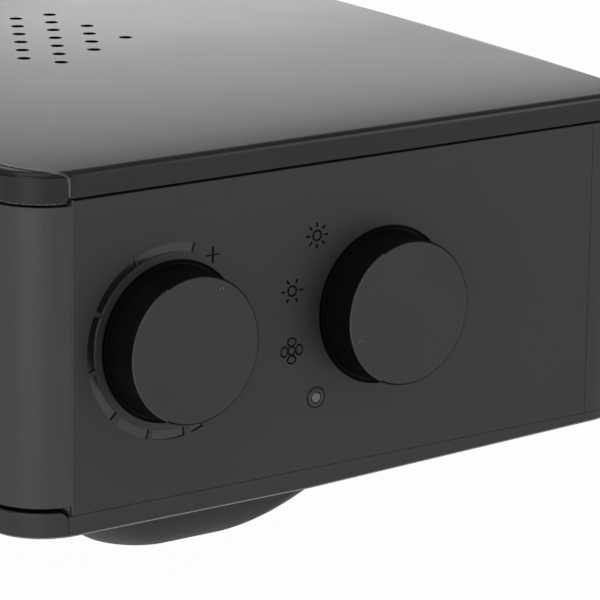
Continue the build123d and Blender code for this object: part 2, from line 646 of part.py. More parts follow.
def control_knob(y, z, dimple_angle):
    """Hollow knob with a flange at its foot, a hub for the spindle and a dimple that points."""
    base = facing_x(KNOB_BASE_X, y, z)
    with BuildPart() as knob:
        add(rod(base, KNOB_FLANGE_R, KNOB_FLANGE_H))
        with BuildSketch(base):
            Circle(KNOB_SIDE_R)
        with BuildSketch(base.offset(KNOB_H)):
            Circle(KNOB_FACE_R)
        loft()
        fillet(knob.edges().group_by(Axis.X)[-1], KNOB_EDGE_R)
        add(rod(base, KNOB_FACE_R - KNOB_WALL, KNOB_H - KNOB_WALL), mode=Mode.SUBTRACT)
        hub_start = HALF_W + BUSHING_OUT + HUB_GAP
        hub_length = KNOB_FACE_X - KNOB_WALL / 2 - hub_start
        add(rod(facing_x(hub_start, y, z), KNOB_HUB_R, hub_length))
        add(rod(facing_x(hub_start, y, z), SPINDLE_R + FIT_GAP, hub_length - KNOB_WALL / 2), mode=Mode.SUBTRACT)
        dimple_y = y + (KNOB_FACE_R - DIMPLE_IN) * cos(radians(dimple_angle))
        dimple_z = z + (KNOB_FACE_R - DIMPLE_IN) * sin(radians(dimple_angle))
        add(rod(facing_x(KNOB_FACE_X - DIMPLE_DEPTH, dimple_y, dimple_z), DIMPLE_R, CUT_PAST), mode=Mode.SUBTRACT)
    return knob.part


def spindle(y, z):
    """Steel shaft from inside the switch or thermostat to the knob's hub."""
    end_x = KNOB_FACE_X - KNOB_WALL - SEAT_GAP
    start_x = HALF_W - PANEL_T - SPINDLE_DEPTH
    return rod(facing_x(start_x, y, z), SPINDLE_R, end_x - start_x)


def spindle_well(y, z):
    """Running bore for the spindle in the part behind the panel."""
    start_x = HALF_W - PANEL_T - SPINDLE_DEPTH - SEAT_GAP
    return rod(facing_x(start_x, y, z), SPINDLE_R + SPINDLE_CLEARANCE, FAR)


def panel_nut(y, z):
    """Hexagon nut on the threaded bushing, on the recess's floor under the knob."""
    with BuildPart() as nut:
        with BuildSketch(facing_x(KNOB_SEAT_X, y, z)):
            RegularPolygon(NUT_FLATS / 2, 6, major_radius=False)
            Circle(BUSHING_R + FIT_GAP, mode=Mode.SUBTRACT)
        extrude(amount=NUT_T)
    return nut.part


def tabs(x, y, z, spacing, count):
    """Row of flat connector tabs that point to -X."""
    with BuildPart() as row:
        with BuildSketch(facing_x(x, y, z)):
            with GridLocations(spacing, 0, count, 1):
                Rectangle(TAB_T, TAB_W)
        extrude(amount=-TAB_L)
    return row.part


KNOBS = {
    "thermostat_knob": (THERMOSTAT_Y, THERMOSTAT_DIMPLE_ANGLE),
    "mode_knob": (MODE_Y, MODE_DIMPLE_ANGLE),
}
for knob_name, (knob_y, dimple_angle) in KNOBS.items():
    with BuildPart() as knob_part:
        add(control_knob(knob_y, KNOB_Z, dimple_angle))
    knob_part.part.label = knob_name
    export_step(knob_part.part, f"parts/{knob_name}.step")

for control_name, control_y in (("thermostat", THERMOSTAT_Y), ("switch", MODE_Y)):
    with BuildPart() as shaft_part:
        add(spindle(control_y, KNOB_Z))
    shaft_part.part.label = control_name + "_spindle"
    export_step(shaft_part.part, f"parts/{control_name}_spindle.step")
    with BuildPart() as nut_part:
        add(panel_nut(control_y, KNOB_Z))
    nut_part.part.label = control_name + "_nut"
    export_step(nut_part.part, f"parts/{control_name}_nut.step")

panel_back_x = HALF_W - PANEL_T

# Thermostat: bimetal housing on a square plate, with a threaded bushing through the panel
with BuildPart() as thermostat:
    with BuildSketch(facing_x(panel_back_x, THERMOSTAT_Y, KNOB_Z)):
        RectangleRounded(THERMOSTAT_PLATE, THERMOSTAT_PLATE, HOUSING_CORNER_R)
    extrude(amount=-THERMOSTAT_PLATE_T)
    body_plane = facing_x(panel_back_x - THERMOSTAT_PLATE_T, THERMOSTAT_Y, KNOB_Z)
    add(rod(body_plane, THERMOSTAT_BODY_R, -THERMOSTAT_BODY_L))
    add(rod(facing_x(panel_back_x, THERMOSTAT_Y, KNOB_Z), BUSHING_R, PANEL_T + BUSHING_OUT))
    tab_x = panel_back_x - THERMOSTAT_PLATE_T - THERMOSTAT_BODY_L
    add(tabs(tab_x, THERMOSTAT_Y, KNOB_Z, THERMOSTAT_TAB_PITCH, 2))
    add(spindle_well(THERMOSTAT_Y, KNOB_Z), mode=Mode.SUBTRACT)
thermostat.part.label = "thermostat"
export_step(thermostat.part, "parts/thermostat.step")

# Rotary switch for fan, low and high heat
with BuildPart() as rotary_switch:
    with BuildSketch(facing_x(panel_back_x, MODE_Y, KNOB_Z)):
        RectangleRounded(SWITCH_BODY, SWITCH_BODY, HOUSING_CORNER_R)
    extrude(amount=-SWITCH_BODY_L)
    add(rod(facing_x(panel_back_x, MODE_Y, KNOB_Z), BUSHING_R, PANEL_T + BUSHING_OUT))
    add(tabs(panel_back_x - SWITCH_BODY_L, MODE_Y, KNOB_Z, SWITCH_TAB_PITCH, 3))
    add(spindle_well(MODE_Y, KNOB_Z), mode=Mode.SUBTRACT)
rotary_switch.part.label = "rotary_switch"
export_step(rotary_switch.part, "parts/rotary_switch.step")

# Light guide of the indicator, and the lamp behind it
with BuildPart() as indicator_lens:
    add(rod(facing_x(panel_back_x, LAMP_Y, LAMP_Z), LENS_FLANGE_R, -LENS_FLANGE_T))
    add(rod(facing_x(panel_back_x, LAMP_Y, LAMP_Z), LENS_R, PANEL_T + LENS_SHOWS))
    fillet(indicator_lens.edges().group_by(Axis.X)[-1], LENS_SHOWS)
indicator_lens.part.label = "indicator_lens"
export_step(indicator_lens.part, "parts/indicator_lens.step")

with BuildPart() as indicator_lamp:
    add(rod(facing_x(panel_back_x - LENS_FLANGE_T - SEAT_GAP, LAMP_Y, LAMP_Z), LAMP_R, -LAMP_L))
indicator_lamp.part.label = "indicator_lamp"
export_step(indicator_lamp.part, "parts/indicator_lamp.step")

# Scroll: curved rear wall and duct floor between two end plates with mounting flanges
end_plate_x = DUCT_HALF_W + END_PLATE_T
stack_x = -(end_plate_x + MOTOR_GAP)
bracket_reach = BRACKET_STAND + BRACKET_T
MOTOR_SCREWS = [(AXIS_Y + side * MOTOR_SCREW_Y, AXIS_Z + MOTOR_SCREW_UP) for side in (-1, 1)]
with BuildPart() as fan_housing:
    with BuildSketch(Plane.YZ.offset(-DUCT_HALF_W)):
        with BuildLine():
            inner = CenterArc((SCROLL_Y, SCROLL_Z), SCROLL_R, -90, 90 + SCROLL_LIP_ANGLE)
            outer = CenterArc((SCROLL_Y, SCROLL_Z), SCROLL_R + DUCT_T, -90, 90 + SCROLL_LIP_ANGLE)
            Line(inner @ 1, outer @ 1)
            Polyline(
                inner @ 0,
                (DUCT_FRONT_Y, DUCT_FLOOR_Z),
                (DUCT_FRONT_Y, DUCT_FLOOR_Z - DUCT_T),
                outer @ 0,
            )
        make_face()
    extrude(amount=2 * DUCT_HALF_W)
    for side, hole_r in ((-1, SHAFT_HOLE_R), (1, END_BUSH_R + SHAFT_CLEARANCE)):
        with BuildSketch(Plane.YZ.offset(side * DUCT_HALF_W)) as end_plan:
            with Locations(((DUCT_FRONT_Y + DUCT_REAR_Y) / 2, (DECK_Z + DUCT_ROOF_Z + DUCT_T) / 2)):
                Rectangle(DUCT_REAR_Y - DUCT_FRONT_Y, DUCT_ROOF_Z + DUCT_T - DECK_Z)
            fillet(end_plan.vertices().group_by(Axis.Y)[-1], END_PLATE_R)
            with Locations((AXIS_Y, AXIS_Z)):
                Circle(hole_r, mode=Mode.SUBTRACT)
        extrude(amount=side * END_PLATE_T)
    for x, y in DECK_BOSSES:
        with BuildSketch(Plane.XY.offset(DECK_Z)):
            with Locations((x, y)):
                Rectangle(FLANGE_L, FLANGE_W)
                Circle(SCREW_HOLE_R, mode=Mode.SUBTRACT)
        extrude(amount=FLANGE_T)
    for y, z in MOTOR_SCREWS:
        add(rod(facing_x(-end_plate_x, y, z), MOTOR_PILLAR_R, bracket_reach + SEAT_GAP - MOTOR_GAP))
        pilot_x = stack_x + bracket_reach + SEAT_GAP
        add(rod(facing_x(pilot_x, y, z), SCREW_HOLE_R, SCREW_BITE), mode=Mode.SUBTRACT)
fan_housing.part.label = "fan_housing"
export_step(fan_housing.part, "parts/fan_housing.step")

# Duct cover: roof of the outlet that dips to a tongue beside the impeller
tongue_r = FAN_R + TONGUE_RUN_GAP
tongue_y = AXIS_Y + tongue_r * cos(radians(TONGUE_ANGLE))
tongue_z = AXIS_Z + tongue_r * sin(radians(TONGUE_ANGLE))
with BuildPart() as duct_cover:
    with BuildSketch(Plane.YZ.offset(SEAT_GAP - DUCT_HALF_W)):
        with BuildLine():
            Polyline(
                (DUCT_FRONT_Y, DUCT_ROOF_Z),
                (DUCT_BEND_Y, DUCT_ROOF_Z),
                (tongue_y, tongue_z),
                (tongue_y, tongue_z + DUCT_T),
                (DUCT_BEND_Y, DUCT_ROOF_Z + DUCT_T),
                (DUCT_FRONT_Y, DUCT_ROOF_Z + DUCT_T),
                close=True,
            )
        make_face()
    extrude(amount=2 * (DUCT_HALF_W - SEAT_GAP))
    fillet(duct_cover.edges().filter_by(Axis.X).group_by(Axis.Y)[-1], DUCT_LIP_R)
duct_cover.part.label = "duct_cover"
export_step(duct_cover.part, "parts/duct_cover.step")

# Cross-flow impeller: curved blades between discs
root_r = FAN_R - BLADE_DEPTH
tip_r = FAN_R - FIT_GAP
tip = (tip_r * cos(radians(BLADE_RAKE)), tip_r * sin(radians(BLADE_RAKE)))
middle = ((root_r + tip[0]) / 2, tip[1] / 2)
with BuildSketch() as blade:
    with BuildLine():
        ThreePointArc((root_r, 0), (middle[0] + BLADE_HOLLOW, middle[1] - BLADE_HOLLOW), tip)
        ThreePointArc(tip, (middle[0] + BLADE_HOLLOW - BLADE_T, middle[1] - BLADE_HOLLOW + BLADE_T), (root_r, 0))
    make_face()
with BuildPart() as impeller:
    with BuildSketch(facing_x(-FAN_HALF_L, AXIS_Y, AXIS_Z)):
        with PolarLocations(0, BLADE_COUNT):
            add(blade.sketch)
    extrude(amount=2 * FAN_HALF_L)
    for disc_x in (-FAN_HALF_L, -FAN_DISC_T / 2, FAN_HALF_L - FAN_DISC_T):
        add(rod(facing_x(disc_x, AXIS_Y, AXIS_Z), FAN_R, FAN_DISC_T))
    add(rod(facing_x(-FAN_HALF_L, AXIS_Y, AXIS_Z), FAN_HUB_R, FAN_HUB_L))
    add(rod(facing_x(FAN_HALF_L, AXIS_Y, AXIS_Z), FAN_HUB_R, -FAN_HUB_L))
    add(rod(facing_x(-FAN_HALF_L, AXIS_Y, AXIS_Z), SHAFT_R + FIT_GAP, FAN_HUB_L), mode=Mode.SUBTRACT)
    add(rod(facing_x(FAN_HALF_L, AXIS_Y, AXIS_Z), PIN_R + FIT_GAP, -FAN_HUB_L), mode=Mode.SUBTRACT)
impeller.part.label = "impeller"
export_step(impeller.part, "parts/impeller.step")

# Shaft from the motor into the impeller's hub, and the pin at the other end
shaft_end_x = stack_x - STACK_T - bracket_reach - BUSH_L / 2
with BuildPart() as motor_shaft:
    add(rod(facing_x(shaft_end_x, AXIS_Y, AXIS_Z), SHAFT_R, FAN_HUB_L - FAN_HALF_L - shaft_end_x))
motor_shaft.part.label = "motor_shaft"
export_step(motor_shaft.part, "parts/motor_shaft.step")

bush_end_x = end_plate_x + END_BUSH_FLANGE_T
with BuildPart() as impeller_pin:
    pin_start_x = FAN_HALF_L - FAN_HUB_L
    add(rod(facing_x(pin_start_x, AXIS_Y, AXIS_Z), PIN_R, bush_end_x - pin_start_x))
impeller_pin.part.label = "impeller_pin"
export_step(impeller_pin.part, "parts/impeller_pin.step")

with BuildPart() as end_bush:
    add(rod(facing_x(DUCT_HALF_W, AXIS_Y, AXIS_Z), END_BUSH_R, END_PLATE_T))
    add(rod(facing_x(end_plate_x, AXIS_Y, AXIS_Z), END_BUSH_FLANGE_R, END_BUSH_FLANGE_T))
    add(rod(facing_x(0, AXIS_Y, AXIS_Z), PIN_R + SHAFT_CLEARANCE, FAR), mode=Mode.SUBTRACT)
end_bush.part.label = "end_bush"
export_step(end_bush.part, "parts/end_bush.step")

# Lamination stack: bore for the rotor, window and leg for the coil
with BuildPart() as motor_stack:
    with BuildSketch(Plane.YZ.offset(stack_x)):
        with Locations((AXIS_Y, AXIS_Z + (STACK_ABOVE_AXIS - STACK_BELOW_AXIS) / 2)):
            Rectangle(2 * STACK_HALF_W, STACK_ABOVE_AXIS + STACK_BELOW_AXIS)
        with Locations((AXIS_Y, AXIS_Z)):
            Circle(BORE_R, mode=Mode.SUBTRACT)
        with Locations((AXIS_Y, AXIS_Z - STACK_BELOW_AXIS + LEG_H + WINDOW_H / 2)):
            Rectangle(2 * WINDOW_HALF_W, WINDOW_H, mode=Mode.SUBTRACT)
        with Locations(*MOTOR_SCREWS):
            Circle(SCREW_HOLE_R, mode=Mode.SUBTRACT)
    extrude(amount=-STACK_T)
motor_stack.part.label = "motor_stack"
export_step(motor_stack.part, "parts/motor_stack.step")

leg_z = AXIS_Z - STACK_BELOW_AXIS + LEG_H / 2
coil_x = stack_x - STACK_T / 2
with BuildPart() as motor_coil:
    with Locations((coil_x, AXIS_Y, leg_z)):
        Box(STACK_T + 2 * COIL_SIDE, 2 * (WINDOW_HALF_W - SEAT_GAP), LEG_H + 2 * COIL_SIDE)
    fillet(motor_coil.edges().filter_by(Axis.Y), COIL_SIDE / 2)
    with Locations((coil_x, AXIS_Y, leg_z)):
        Box(STACK_T + 2 * SEAT_GAP, FAR, LEG_H + 2 * SEAT_GAP, mode=Mode.SUBTRACT)
motor_coil.part.label = "motor_coil"
export_step(motor_coil.part, "parts/motor_coil.step")

with BuildPart() as motor_rotor:
    rotor_plane = facing_x(stack_x - STACK_T - ROTOR_GAP, AXIS_Y, AXIS_Z)
    add(rod(rotor_plane, BORE_R - ROTOR_GAP, STACK_T + 2 * ROTOR_GAP, SHAFT_R + FIT_GAP))
motor_rotor.part.label = "motor_rotor"
export_step(motor_rotor.part, "parts/motor_rotor.step")


def motor_bracket(face_x, side):
    """Bridge over one side of the stack with the bearing bush's seat in its middle."""
    bottom_z = AXIS_Z - BRACKET_DOWN
    height = MOTOR_SCREW_UP + MOTOR_PILLAR_R + BRACKET_DOWN
    with BuildPart() as bracket:
        with BuildSketch(Plane.XY.offset(bottom_z)):
            with Locations((face_x + side * bracket_reach / 2, AXIS_Y)):
                Rectangle(bracket_reach, 2 * BRACKET_HALF_W)
            with Locations((face_x + side * BRACKET_STAND / 2, AXIS_Y)):
                Rectangle(BRACKET_STAND, 2 * (BRACKET_HALF_W - BRACKET_LEG), mode=Mode.SUBTRACT)
        extrude(amount=height)
        add(rod(facing_x(-FAR, AXIS_Y, AXIS_Z), BUSH_R + FIT_GAP, 2 * FAR), mode=Mode.SUBTRACT)
        for y, z in MOTOR_SCREWS:
            add(rod(facing_x(-FAR, y, z), SCREW_HOLE_R, 2 * FAR), mode=Mode.SUBTRACT)
    return bracket.part


for bracket_name, face_x, side in (("front", stack_x, 1), ("rear", stack_x - STACK_T, -1)):
    with BuildPart() as bracket_part:
        add(motor_bracket(face_x, side))
    bracket_part.part.label = f"motor_bracket_{bracket_name}"
    export_step(bracket_part.part, f"parts/motor_bracket_{bracket_name}.step")

with BuildPart() as motor_bushes:
    bush_setting = BRACKET_STAND + BRACKET_T / 2
    for bush_x in (stack_x + bush_setting, stack_x - STACK_T - bush_setting):
        add(rod(facing_x(bush_x - BUSH_L / 2, AXIS_Y, AXIS_Z), BUSH_R, BUSH_L, SHAFT_R + SHAFT_CLEARANCE))
motor_bushes.part.label = "motor_bushes"
export_step(motor_bushes.part, "parts/motor_bushes.step")

# Heating element: insulating frame round a core of fins and flat tubes
frame_half_x = DUCT_HALF_W - HEATER_GAP
frame_bottom_z = DUCT_FLOOR_Z + HEATER_GAP
frame_h = DUCT_H - 2 * HEATER_GAP
frame_z = frame_bottom_z + frame_h / 2
core_half_x = frame_half_x - HEATER_FRAME_W
core_h = frame_h - 2 * HEATER_FRAME_W
with BuildPart() as heater_frame:
    with Locations((0, HEATER_Y, frame_z)):
        Box(2 * frame_half_x, HEATER_T, frame_h)
        Box(2 * core_half_x, HEATER_T, core_h, mode=Mode.SUBTRACT)
heater_frame.part.label = "heater_frame"
export_step(heater_frame.part, "parts/heater_frame.step")

core_w = 2 * (core_half_x - HEATER_GAP)
core_height = core_h - 2 * HEATER_GAP
with BuildPart() as heater_core:
    with BuildSketch(Plane.XZ.offset(-HEATER_Y - CORE_T / 2)):
        with Locations((0, frame_z)):
            with GridLocations((core_w - FIN_T) / (FIN_COUNT - 1), 0, FIN_COUNT, 1):
                Rectangle(FIN_T, core_height)
            with GridLocations(0, (core_height - TUBE_T) / (TUBE_COUNT - 1), 1, TUBE_COUNT):
                Rectangle(core_w, TUBE_T)
    extrude(amount=CORE_T)
heater_core.part.label = "heater_core"
export_step(heater_core.part, "parts/heater_core.step")

# Thermal cut-out on the duct's roof
with BuildPart() as thermal_cutout:
    cutout_plane = Plane((CUTOUT_X, HEATER_Y - CUTOUT_AHEAD, DUCT_ROOF_Z + DUCT_T))
    add(rod(cutout_plane, CUTOUT_R, CUTOUT_H))
    with BuildSketch(cutout_plane.offset(CUTOUT_H / 2)):
        Rectangle(2 * (CUTOUT_R + TAB_L), TAB_W)
    extrude(amount=TAB_T)
thermal_cutout.part.label = "thermal_cutout"
export_step(thermal_cutout.part, "parts/thermal_cutout.step")

# Terminal block with a hollow screw post for each pole
floor_z = BODY_Z + WALL
pole_pitch = BLOCK_L / BLOCK_POLES
with BuildPart() as terminal_block:
    with BuildSketch(Plane.XY.offset(floor_z)):
        with Locations((BLOCK_X, BLOCK_Y)):
            Rectangle(BLOCK_L, BLOCK_W)
    extrude(amount=BLOCK_H / 2)
    with BuildSketch(Plane.XY.offset(floor_z + BLOCK_H / 2)):
        with Locations((BLOCK_X, BLOCK_Y)):
            with GridLocations(pole_pitch, 0, BLOCK_POLES, 1):
                Rectangle(pole_pitch * BLOCK_POST_SHARE, BLOCK_W)
    extrude(amount=BLOCK_H / 2)
    with BuildSketch(Plane.XY.offset(floor_z + BLOCK_H)):
        with Locations((BLOCK_X, BLOCK_Y)):
            with GridLocations(pole_pitch, BLOCK_W / 2, BLOCK_POLES, 2):
                Circle(SCREW_HOLE_R)
    extrude(amount=-BLOCK_H / 2, mode=Mode.SUBTRACT)
terminal_block.part.label = "terminal_block"
export_step(terminal_block.part, "parts/terminal_block.step")

# Tilt switch that cuts the heat when the heater falls over
with BuildPart() as tilt_switch:
    with Locations((TILT_X, TILT_Y, floor_z + TILT_H / 2)):
        Box(TILT_L, TILT_W, TILT_H)
    fillet(tilt_switch.edges().filter_by(Axis.Z), WALL)
tilt_switch.part.label = "tilt_switch"
export_step(tilt_switch.part, "parts/tilt_switch.step")

# Cord gland in the rear panel and its nut inside
with BuildPart() as cord_gland:
    add(rod(gland_plane, GLAND_FLANGE_R, GLAND_FLANGE_T))
    fillet(cord_gland.edges().sort_by(SortBy.LENGTH)[-1], GLAND_EDGE_R)
    add(rod(gland_plane, GLAND_BARREL_R, -(PANEL_T + GLAND_NUT_T + 2 * SEAT_GAP)))
    add(rod(gland_plane.offset(-FAR / 2), GLAND_BORE_R, FAR), mode=Mode.SUBTRACT)
cord_gland.part.label = "cord_gland"
export_step(cord_gland.part, "parts/cord_gland.step")

with BuildPart() as gland_nut:
    nut_plane = gland_plane.offset(-(PANEL_T + GLAND_NUT_T + SEAT_GAP))
    add(rod(nut_plane, GLAND_FLANGE_R, GLAND_NUT_T, GLAND_BARREL_R + FIT_GAP))
gland_nut.part.label = "gland_nut"
export_step(gland_nut.part, "parts/gland_nut.step")

# Screws, one group for each kind
SCREW_GROUPS = {
    "case_screws": (
        [Plane((x, y, PILLAR_TOP_Z - PILLAR_SHELF)) for x, y in PILLARS],
        PILLAR_SHELF + SCREW_BITE,
    ),
    "foot_screws": (
        [Plane((x, y, BODY_Z - FOOT_SHELF)) for x, y in FOOT_SCREWS],
        FOOT_SHELF + SCREW_BITE,
    ),
    "housing_screws": (
        [Plane(origin=(x, y, DECK_Z + FLANGE_T), z_dir=(0, 0, -1)) for x, y in DECK_BOSSES],
        FLANGE_T + HOUSING_BITE,
    ),
    "motor_screws": (
        [facing_x(stack_x - STACK_T - bracket_reach, y, z) for y, z in MOTOR_SCREWS],
        STACK_T + 2 * bracket_reach + SCREW_BITE - SCREW_RUN_OUT,
    ),
}
for group_name, (screw_planes, shank) in SCREW_GROUPS.items():
    with BuildPart() as screw_group:
        for screw_plane in screw_planes:
            add(screw(screw_plane, shank))
    screw_group.part.label = group_name
    export_step(screw_group.part, f"parts/{group_name}.step")
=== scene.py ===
# %% [markdown]
# # A fan heater on its pedestal
# The heater is a low black box between two covers, with a knob panel at one end, an outlet grille along
# the front and an intake at the back, on an oval foot. The solids, their places and their joints come
# from CAD. This lesson lights them, gives every piece its finish, and models what only the eye needs:
# rounded edges, the ribbed knobs, the scale and the signs pressed into the panel.

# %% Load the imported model
import json
from math import cos, pi, radians, sin

import bmesh
import bpy
from mathutils import Matrix, Vector


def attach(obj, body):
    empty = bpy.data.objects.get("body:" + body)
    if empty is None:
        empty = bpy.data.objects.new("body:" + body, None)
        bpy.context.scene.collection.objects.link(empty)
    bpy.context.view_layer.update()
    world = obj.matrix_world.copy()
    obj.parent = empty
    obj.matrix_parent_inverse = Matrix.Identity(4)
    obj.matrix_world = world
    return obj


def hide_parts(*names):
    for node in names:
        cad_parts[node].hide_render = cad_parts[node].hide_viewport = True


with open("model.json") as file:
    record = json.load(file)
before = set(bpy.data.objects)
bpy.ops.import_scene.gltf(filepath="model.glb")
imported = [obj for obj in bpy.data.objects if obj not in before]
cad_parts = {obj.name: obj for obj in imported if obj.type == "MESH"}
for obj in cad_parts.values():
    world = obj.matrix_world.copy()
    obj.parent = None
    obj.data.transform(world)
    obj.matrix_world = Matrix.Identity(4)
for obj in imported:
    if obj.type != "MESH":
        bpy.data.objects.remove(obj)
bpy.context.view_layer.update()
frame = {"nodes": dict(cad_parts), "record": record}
MM = 0.001

# %% [markdown]
# ## The camera
# The picture was taken from ahead of the knob panel's right corner, with a long lens. A long lens keeps
# the panel's upright edges nearly parallel, so the camera stands more than a metre away. Its turn is
# built from the direction it looks in and a small roll, because those were measured, and not its angles.

# %% Camera
CAMERA_PLACE = Vector((1.013156, -0.641316, 0.370092))
LOOKS_ALONG = Vector((-0.77987, 0.57137, -0.25563)).normalized()
CAMERA_RIGHT = Vector((0.59101, 0.80667, 0.0)).normalized()
CAMERA_ROLL = 0.0144

level_up = CAMERA_RIGHT.cross(LOOKS_ALONG)
camera_right = cos(CAMERA_ROLL) * CAMERA_RIGHT + sin(CAMERA_ROLL) * level_up
camera_up = camera_right.cross(LOOKS_ALONG)
bpy.ops.object.camera_add(location=CAMERA_PLACE)
camera = bpy.context.object
camera.name = "photo_camera"
turn = Matrix((camera_right, camera_up, -LOOKS_ALONG)).transposed()
camera.matrix_world = Matrix.Translation(CAMERA_PLACE) @ turn.to_4x4()
camera.data.sensor_width = 36.0
camera.data.lens = 246.5
bpy.context.scene.camera = camera
print("camera distance in m:", round(CAMERA_PLACE.length, 2))

# %% [markdown]
# ## Light and floor
# Black plastic shows almost nothing of its own colour: its greys are reflections of a white room. So the
# room does the work here. Where a camera, a gloss or a glass ray meets the world, it is white at the
# horizon and greyer towards the ceiling, and it gives a plain level of soft light to everything else. Soft
# lamps add direction: one overhead, one behind to the right, a low one far behind that the top mirrors,
# one to the right for the knob panel and a small one ahead. The floor is pale and takes the shadow.

# %% World
CEILING_FROM = 7.0  # degrees above the horizon
CEILING_TO = 21.0
CEILING_GREY = 0.3
SOFT_ROOM_LIGHT = 0.5
bpy.context.scene.view_settings.view_transform = "Standard"
world = bpy.data.worlds.new("white_room")
bpy.context.scene.world = world
world.use_nodes = True
nodes, links = world.node_tree.nodes, world.node_tree.links
nodes.clear()
ray = nodes.new("ShaderNodeLightPath")
seen = nodes.new("ShaderNodeMath")
seen.operation = "ADD"
seen_all = nodes.new("ShaderNodeMath")
seen_all.operation = "ADD"
seen_all.use_clamp = True
soft_room = nodes.new("ShaderNodeBackground")
soft_room.inputs["Color"].default_value = (1.0, 1.0, 1.0, 1.0)
soft_room.inputs["Strength"].default_value = SOFT_ROOM_LIGHT
direction = nodes.new("ShaderNodeTexCoord")
heights = nodes.new("ShaderNodeSeparateXYZ")
rise = nodes.new("ShaderNodeMapRange")
rise.interpolation_type = "SMOOTHSTEP"
rise.inputs["From Min"].default_value = sin(radians(CEILING_FROM))
rise.inputs["From Max"].default_value = sin(radians(CEILING_TO))
rise.inputs["To Min"].default_value = 1.0
rise.inputs["To Max"].default_value = CEILING_GREY
white_room = nodes.new("ShaderNodeBackground")
white_room.inputs["Color"].default_value = (1.0, 1.0, 1.0, 1.0)
room_mix = nodes.new("ShaderNodeMixShader")
room_out = nodes.new("ShaderNodeOutputWorld")
links.new(direction.outputs["Generated"], heights.inputs[0])
links.new(heights.outputs["Z"], rise.inputs["Value"])
links.new(rise.outputs["Result"], white_room.inputs["Strength"])
links.new(ray.outputs["Is Camera Ray"], seen.inputs[0])
links.new(ray.outputs["Is Glossy Ray"], seen.inputs[1])
links.new(seen.outputs[0], seen_all.inputs[0])
links.new(ray.outputs["Is Transmission Ray"], seen_all.inputs[1])
links.new(seen_all.outputs[0], room_mix.inputs["Fac"])
links.new(soft_room.outputs[0], room_mix.inputs[1])
links.new(white_room.outputs[0], room_mix.inputs[2])
links.new(room_mix.outputs[0], room_out.inputs["Surface"])
print("soft room light:", SOFT_ROOM_LIGHT)


# %% Lamps
def soft_lamp(name, place, size, power, colour=(1.0, 1.0, 1.0)):
    """Square soft lamp that faces the heater and is never seen itself."""
    bpy.ops.object.light_add(type="AREA", location=place)
    lamp = bpy.context.object
    lamp.name = name
    lamp.data.size = size
    lamp.data.energy = power
    lamp.data.color = colour
    lamp.visible_camera = False
    away = Vector(place) - Vector((0.0, 0.0, 0.09))
    lamp.rotation_euler = away.to_track_quat("Z", "Y").to_euler()
    return lamp


soft_lamp("lamp_overhead", (0.4, -0.6, 2.6), 2.0, 11.0)
soft_lamp("lamp_behind_right", (-0.2, 2.6, 1.2), 1.6, 8.0)
soft_lamp("lamp_low_behind", (-2.3, 2.05, 0.28), 1.15, 4.55)
soft_lamp("lamp_right", (1.1, 1.1, 0.75), 0.7, 2.9)
soft_lamp("lamp_ahead", (0.95, -1.3, 0.3), 0.9, 9.0, (0.86, 0.93, 1.0))

# %% Floor
FLOOR_SIZE = 10.0  # metres
WHITE_IN_VIEW = 0.98  # how much of the floor is plain white, as the camera sees it
WHITE_IN_REFLECTIONS = 0.55  # and as it shows in the gloss of the heater
bpy.ops.mesh.primitive_plane_add(size=FLOOR_SIZE, location=(0.0, 0.0, 0.0))
floor = bpy.context.object
floor.name = "floor"
floor_paint = bpy.data.materials.new("pale_floor")
floor_paint.use_nodes = True
nodes, links = floor_paint.node_tree.nodes, floor_paint.node_tree.links
paint = nodes["Principled BSDF"]
paint.inputs["Base Color"].default_value = (0.86, 0.86, 0.81, 1.0)
paint.inputs["Roughness"].default_value = 0.9
paint.inputs["Specular IOR Level"].default_value = 0.0
ray = nodes.new("ShaderNodeLightPath")
mirrored = nodes.new("ShaderNodeMath")
mirrored.operation = "ADD"
mirrored_share = nodes.new("ShaderNodeMath")
mirrored_share.operation = "MULTIPLY"
mirrored_share.inputs[1].default_value = WHITE_IN_REFLECTIONS
share = nodes.new("ShaderNodeMath")
share.operation = "MULTIPLY_ADD"
share.inputs[1].default_value = WHITE_IN_VIEW
white = nodes.new("ShaderNodeEmission")
white.inputs["Color"].default_value = (1.0, 1.0, 1.0, 1.0)
white.inputs["Strength"].default_value = 1.0
floor_mix = nodes.new("ShaderNodeMixShader")
links.new(ray.outputs["Is Glossy Ray"], mirrored.inputs[0])
links.new(ray.outputs["Is Transmission Ray"], mirrored.inputs[1])
links.new(mirrored.outputs[0], mirrored_share.inputs[0])
links.new(ray.outputs["Is Camera Ray"], share.inputs[0])
links.new(mirrored_share.outputs[0], share.inputs[2])
links.new(share.outputs[0], floor_mix.inputs["Fac"])
links.new(paint.outputs[0], floor_mix.inputs[1])
links.new(white.outputs[0], floor_mix.inputs[2])
links.new(floor_mix.outputs[0], nodes["Material Output"].inputs["Surface"])
floor.data.materials.append(floor_paint)
print("floor:", floor.name)

# %% [markdown]
# ## Shared effects
# Moulded plastic is never perfectly even. Its steel mould leaves a fine grain, which breaks up the gloss,
# and the flow of the melt leaves faint, wide changes of tone and gloss. Both effects return in nearly
# every finish, so each is a node group with its own inputs, built once. Metal parts share a third
# one: fine lines along the direction in which they were rolled or turned. The fourth is for the top alone:
# a wide moulded plate is crowned by a millimetre or two and falls off towards its edges, and a glossy top
# shows that as light that fades there. Its height is worked out from the place on the plate.


# %% Group: moulded grain and soft variation
def new_group(name, inputs, outputs):
    """Empty shader group with named sockets; inputs are (name, type, value)."""
    group = bpy.data.node_groups.new(name, "ShaderNodeTree")
    for socket_name, kind, value in inputs:
        socket = group.interface.new_socket(socket_name, in_out="INPUT", socket_type=kind)
        if value is not None:
            socket.default_value = value
    for socket_name, kind in outputs:
        group.interface.new_socket(socket_name, in_out="OUTPUT", socket_type=kind)
    start = group.nodes.new("NodeGroupInput")
    end = group.nodes.new("NodeGroupOutput")
    return group, start, end


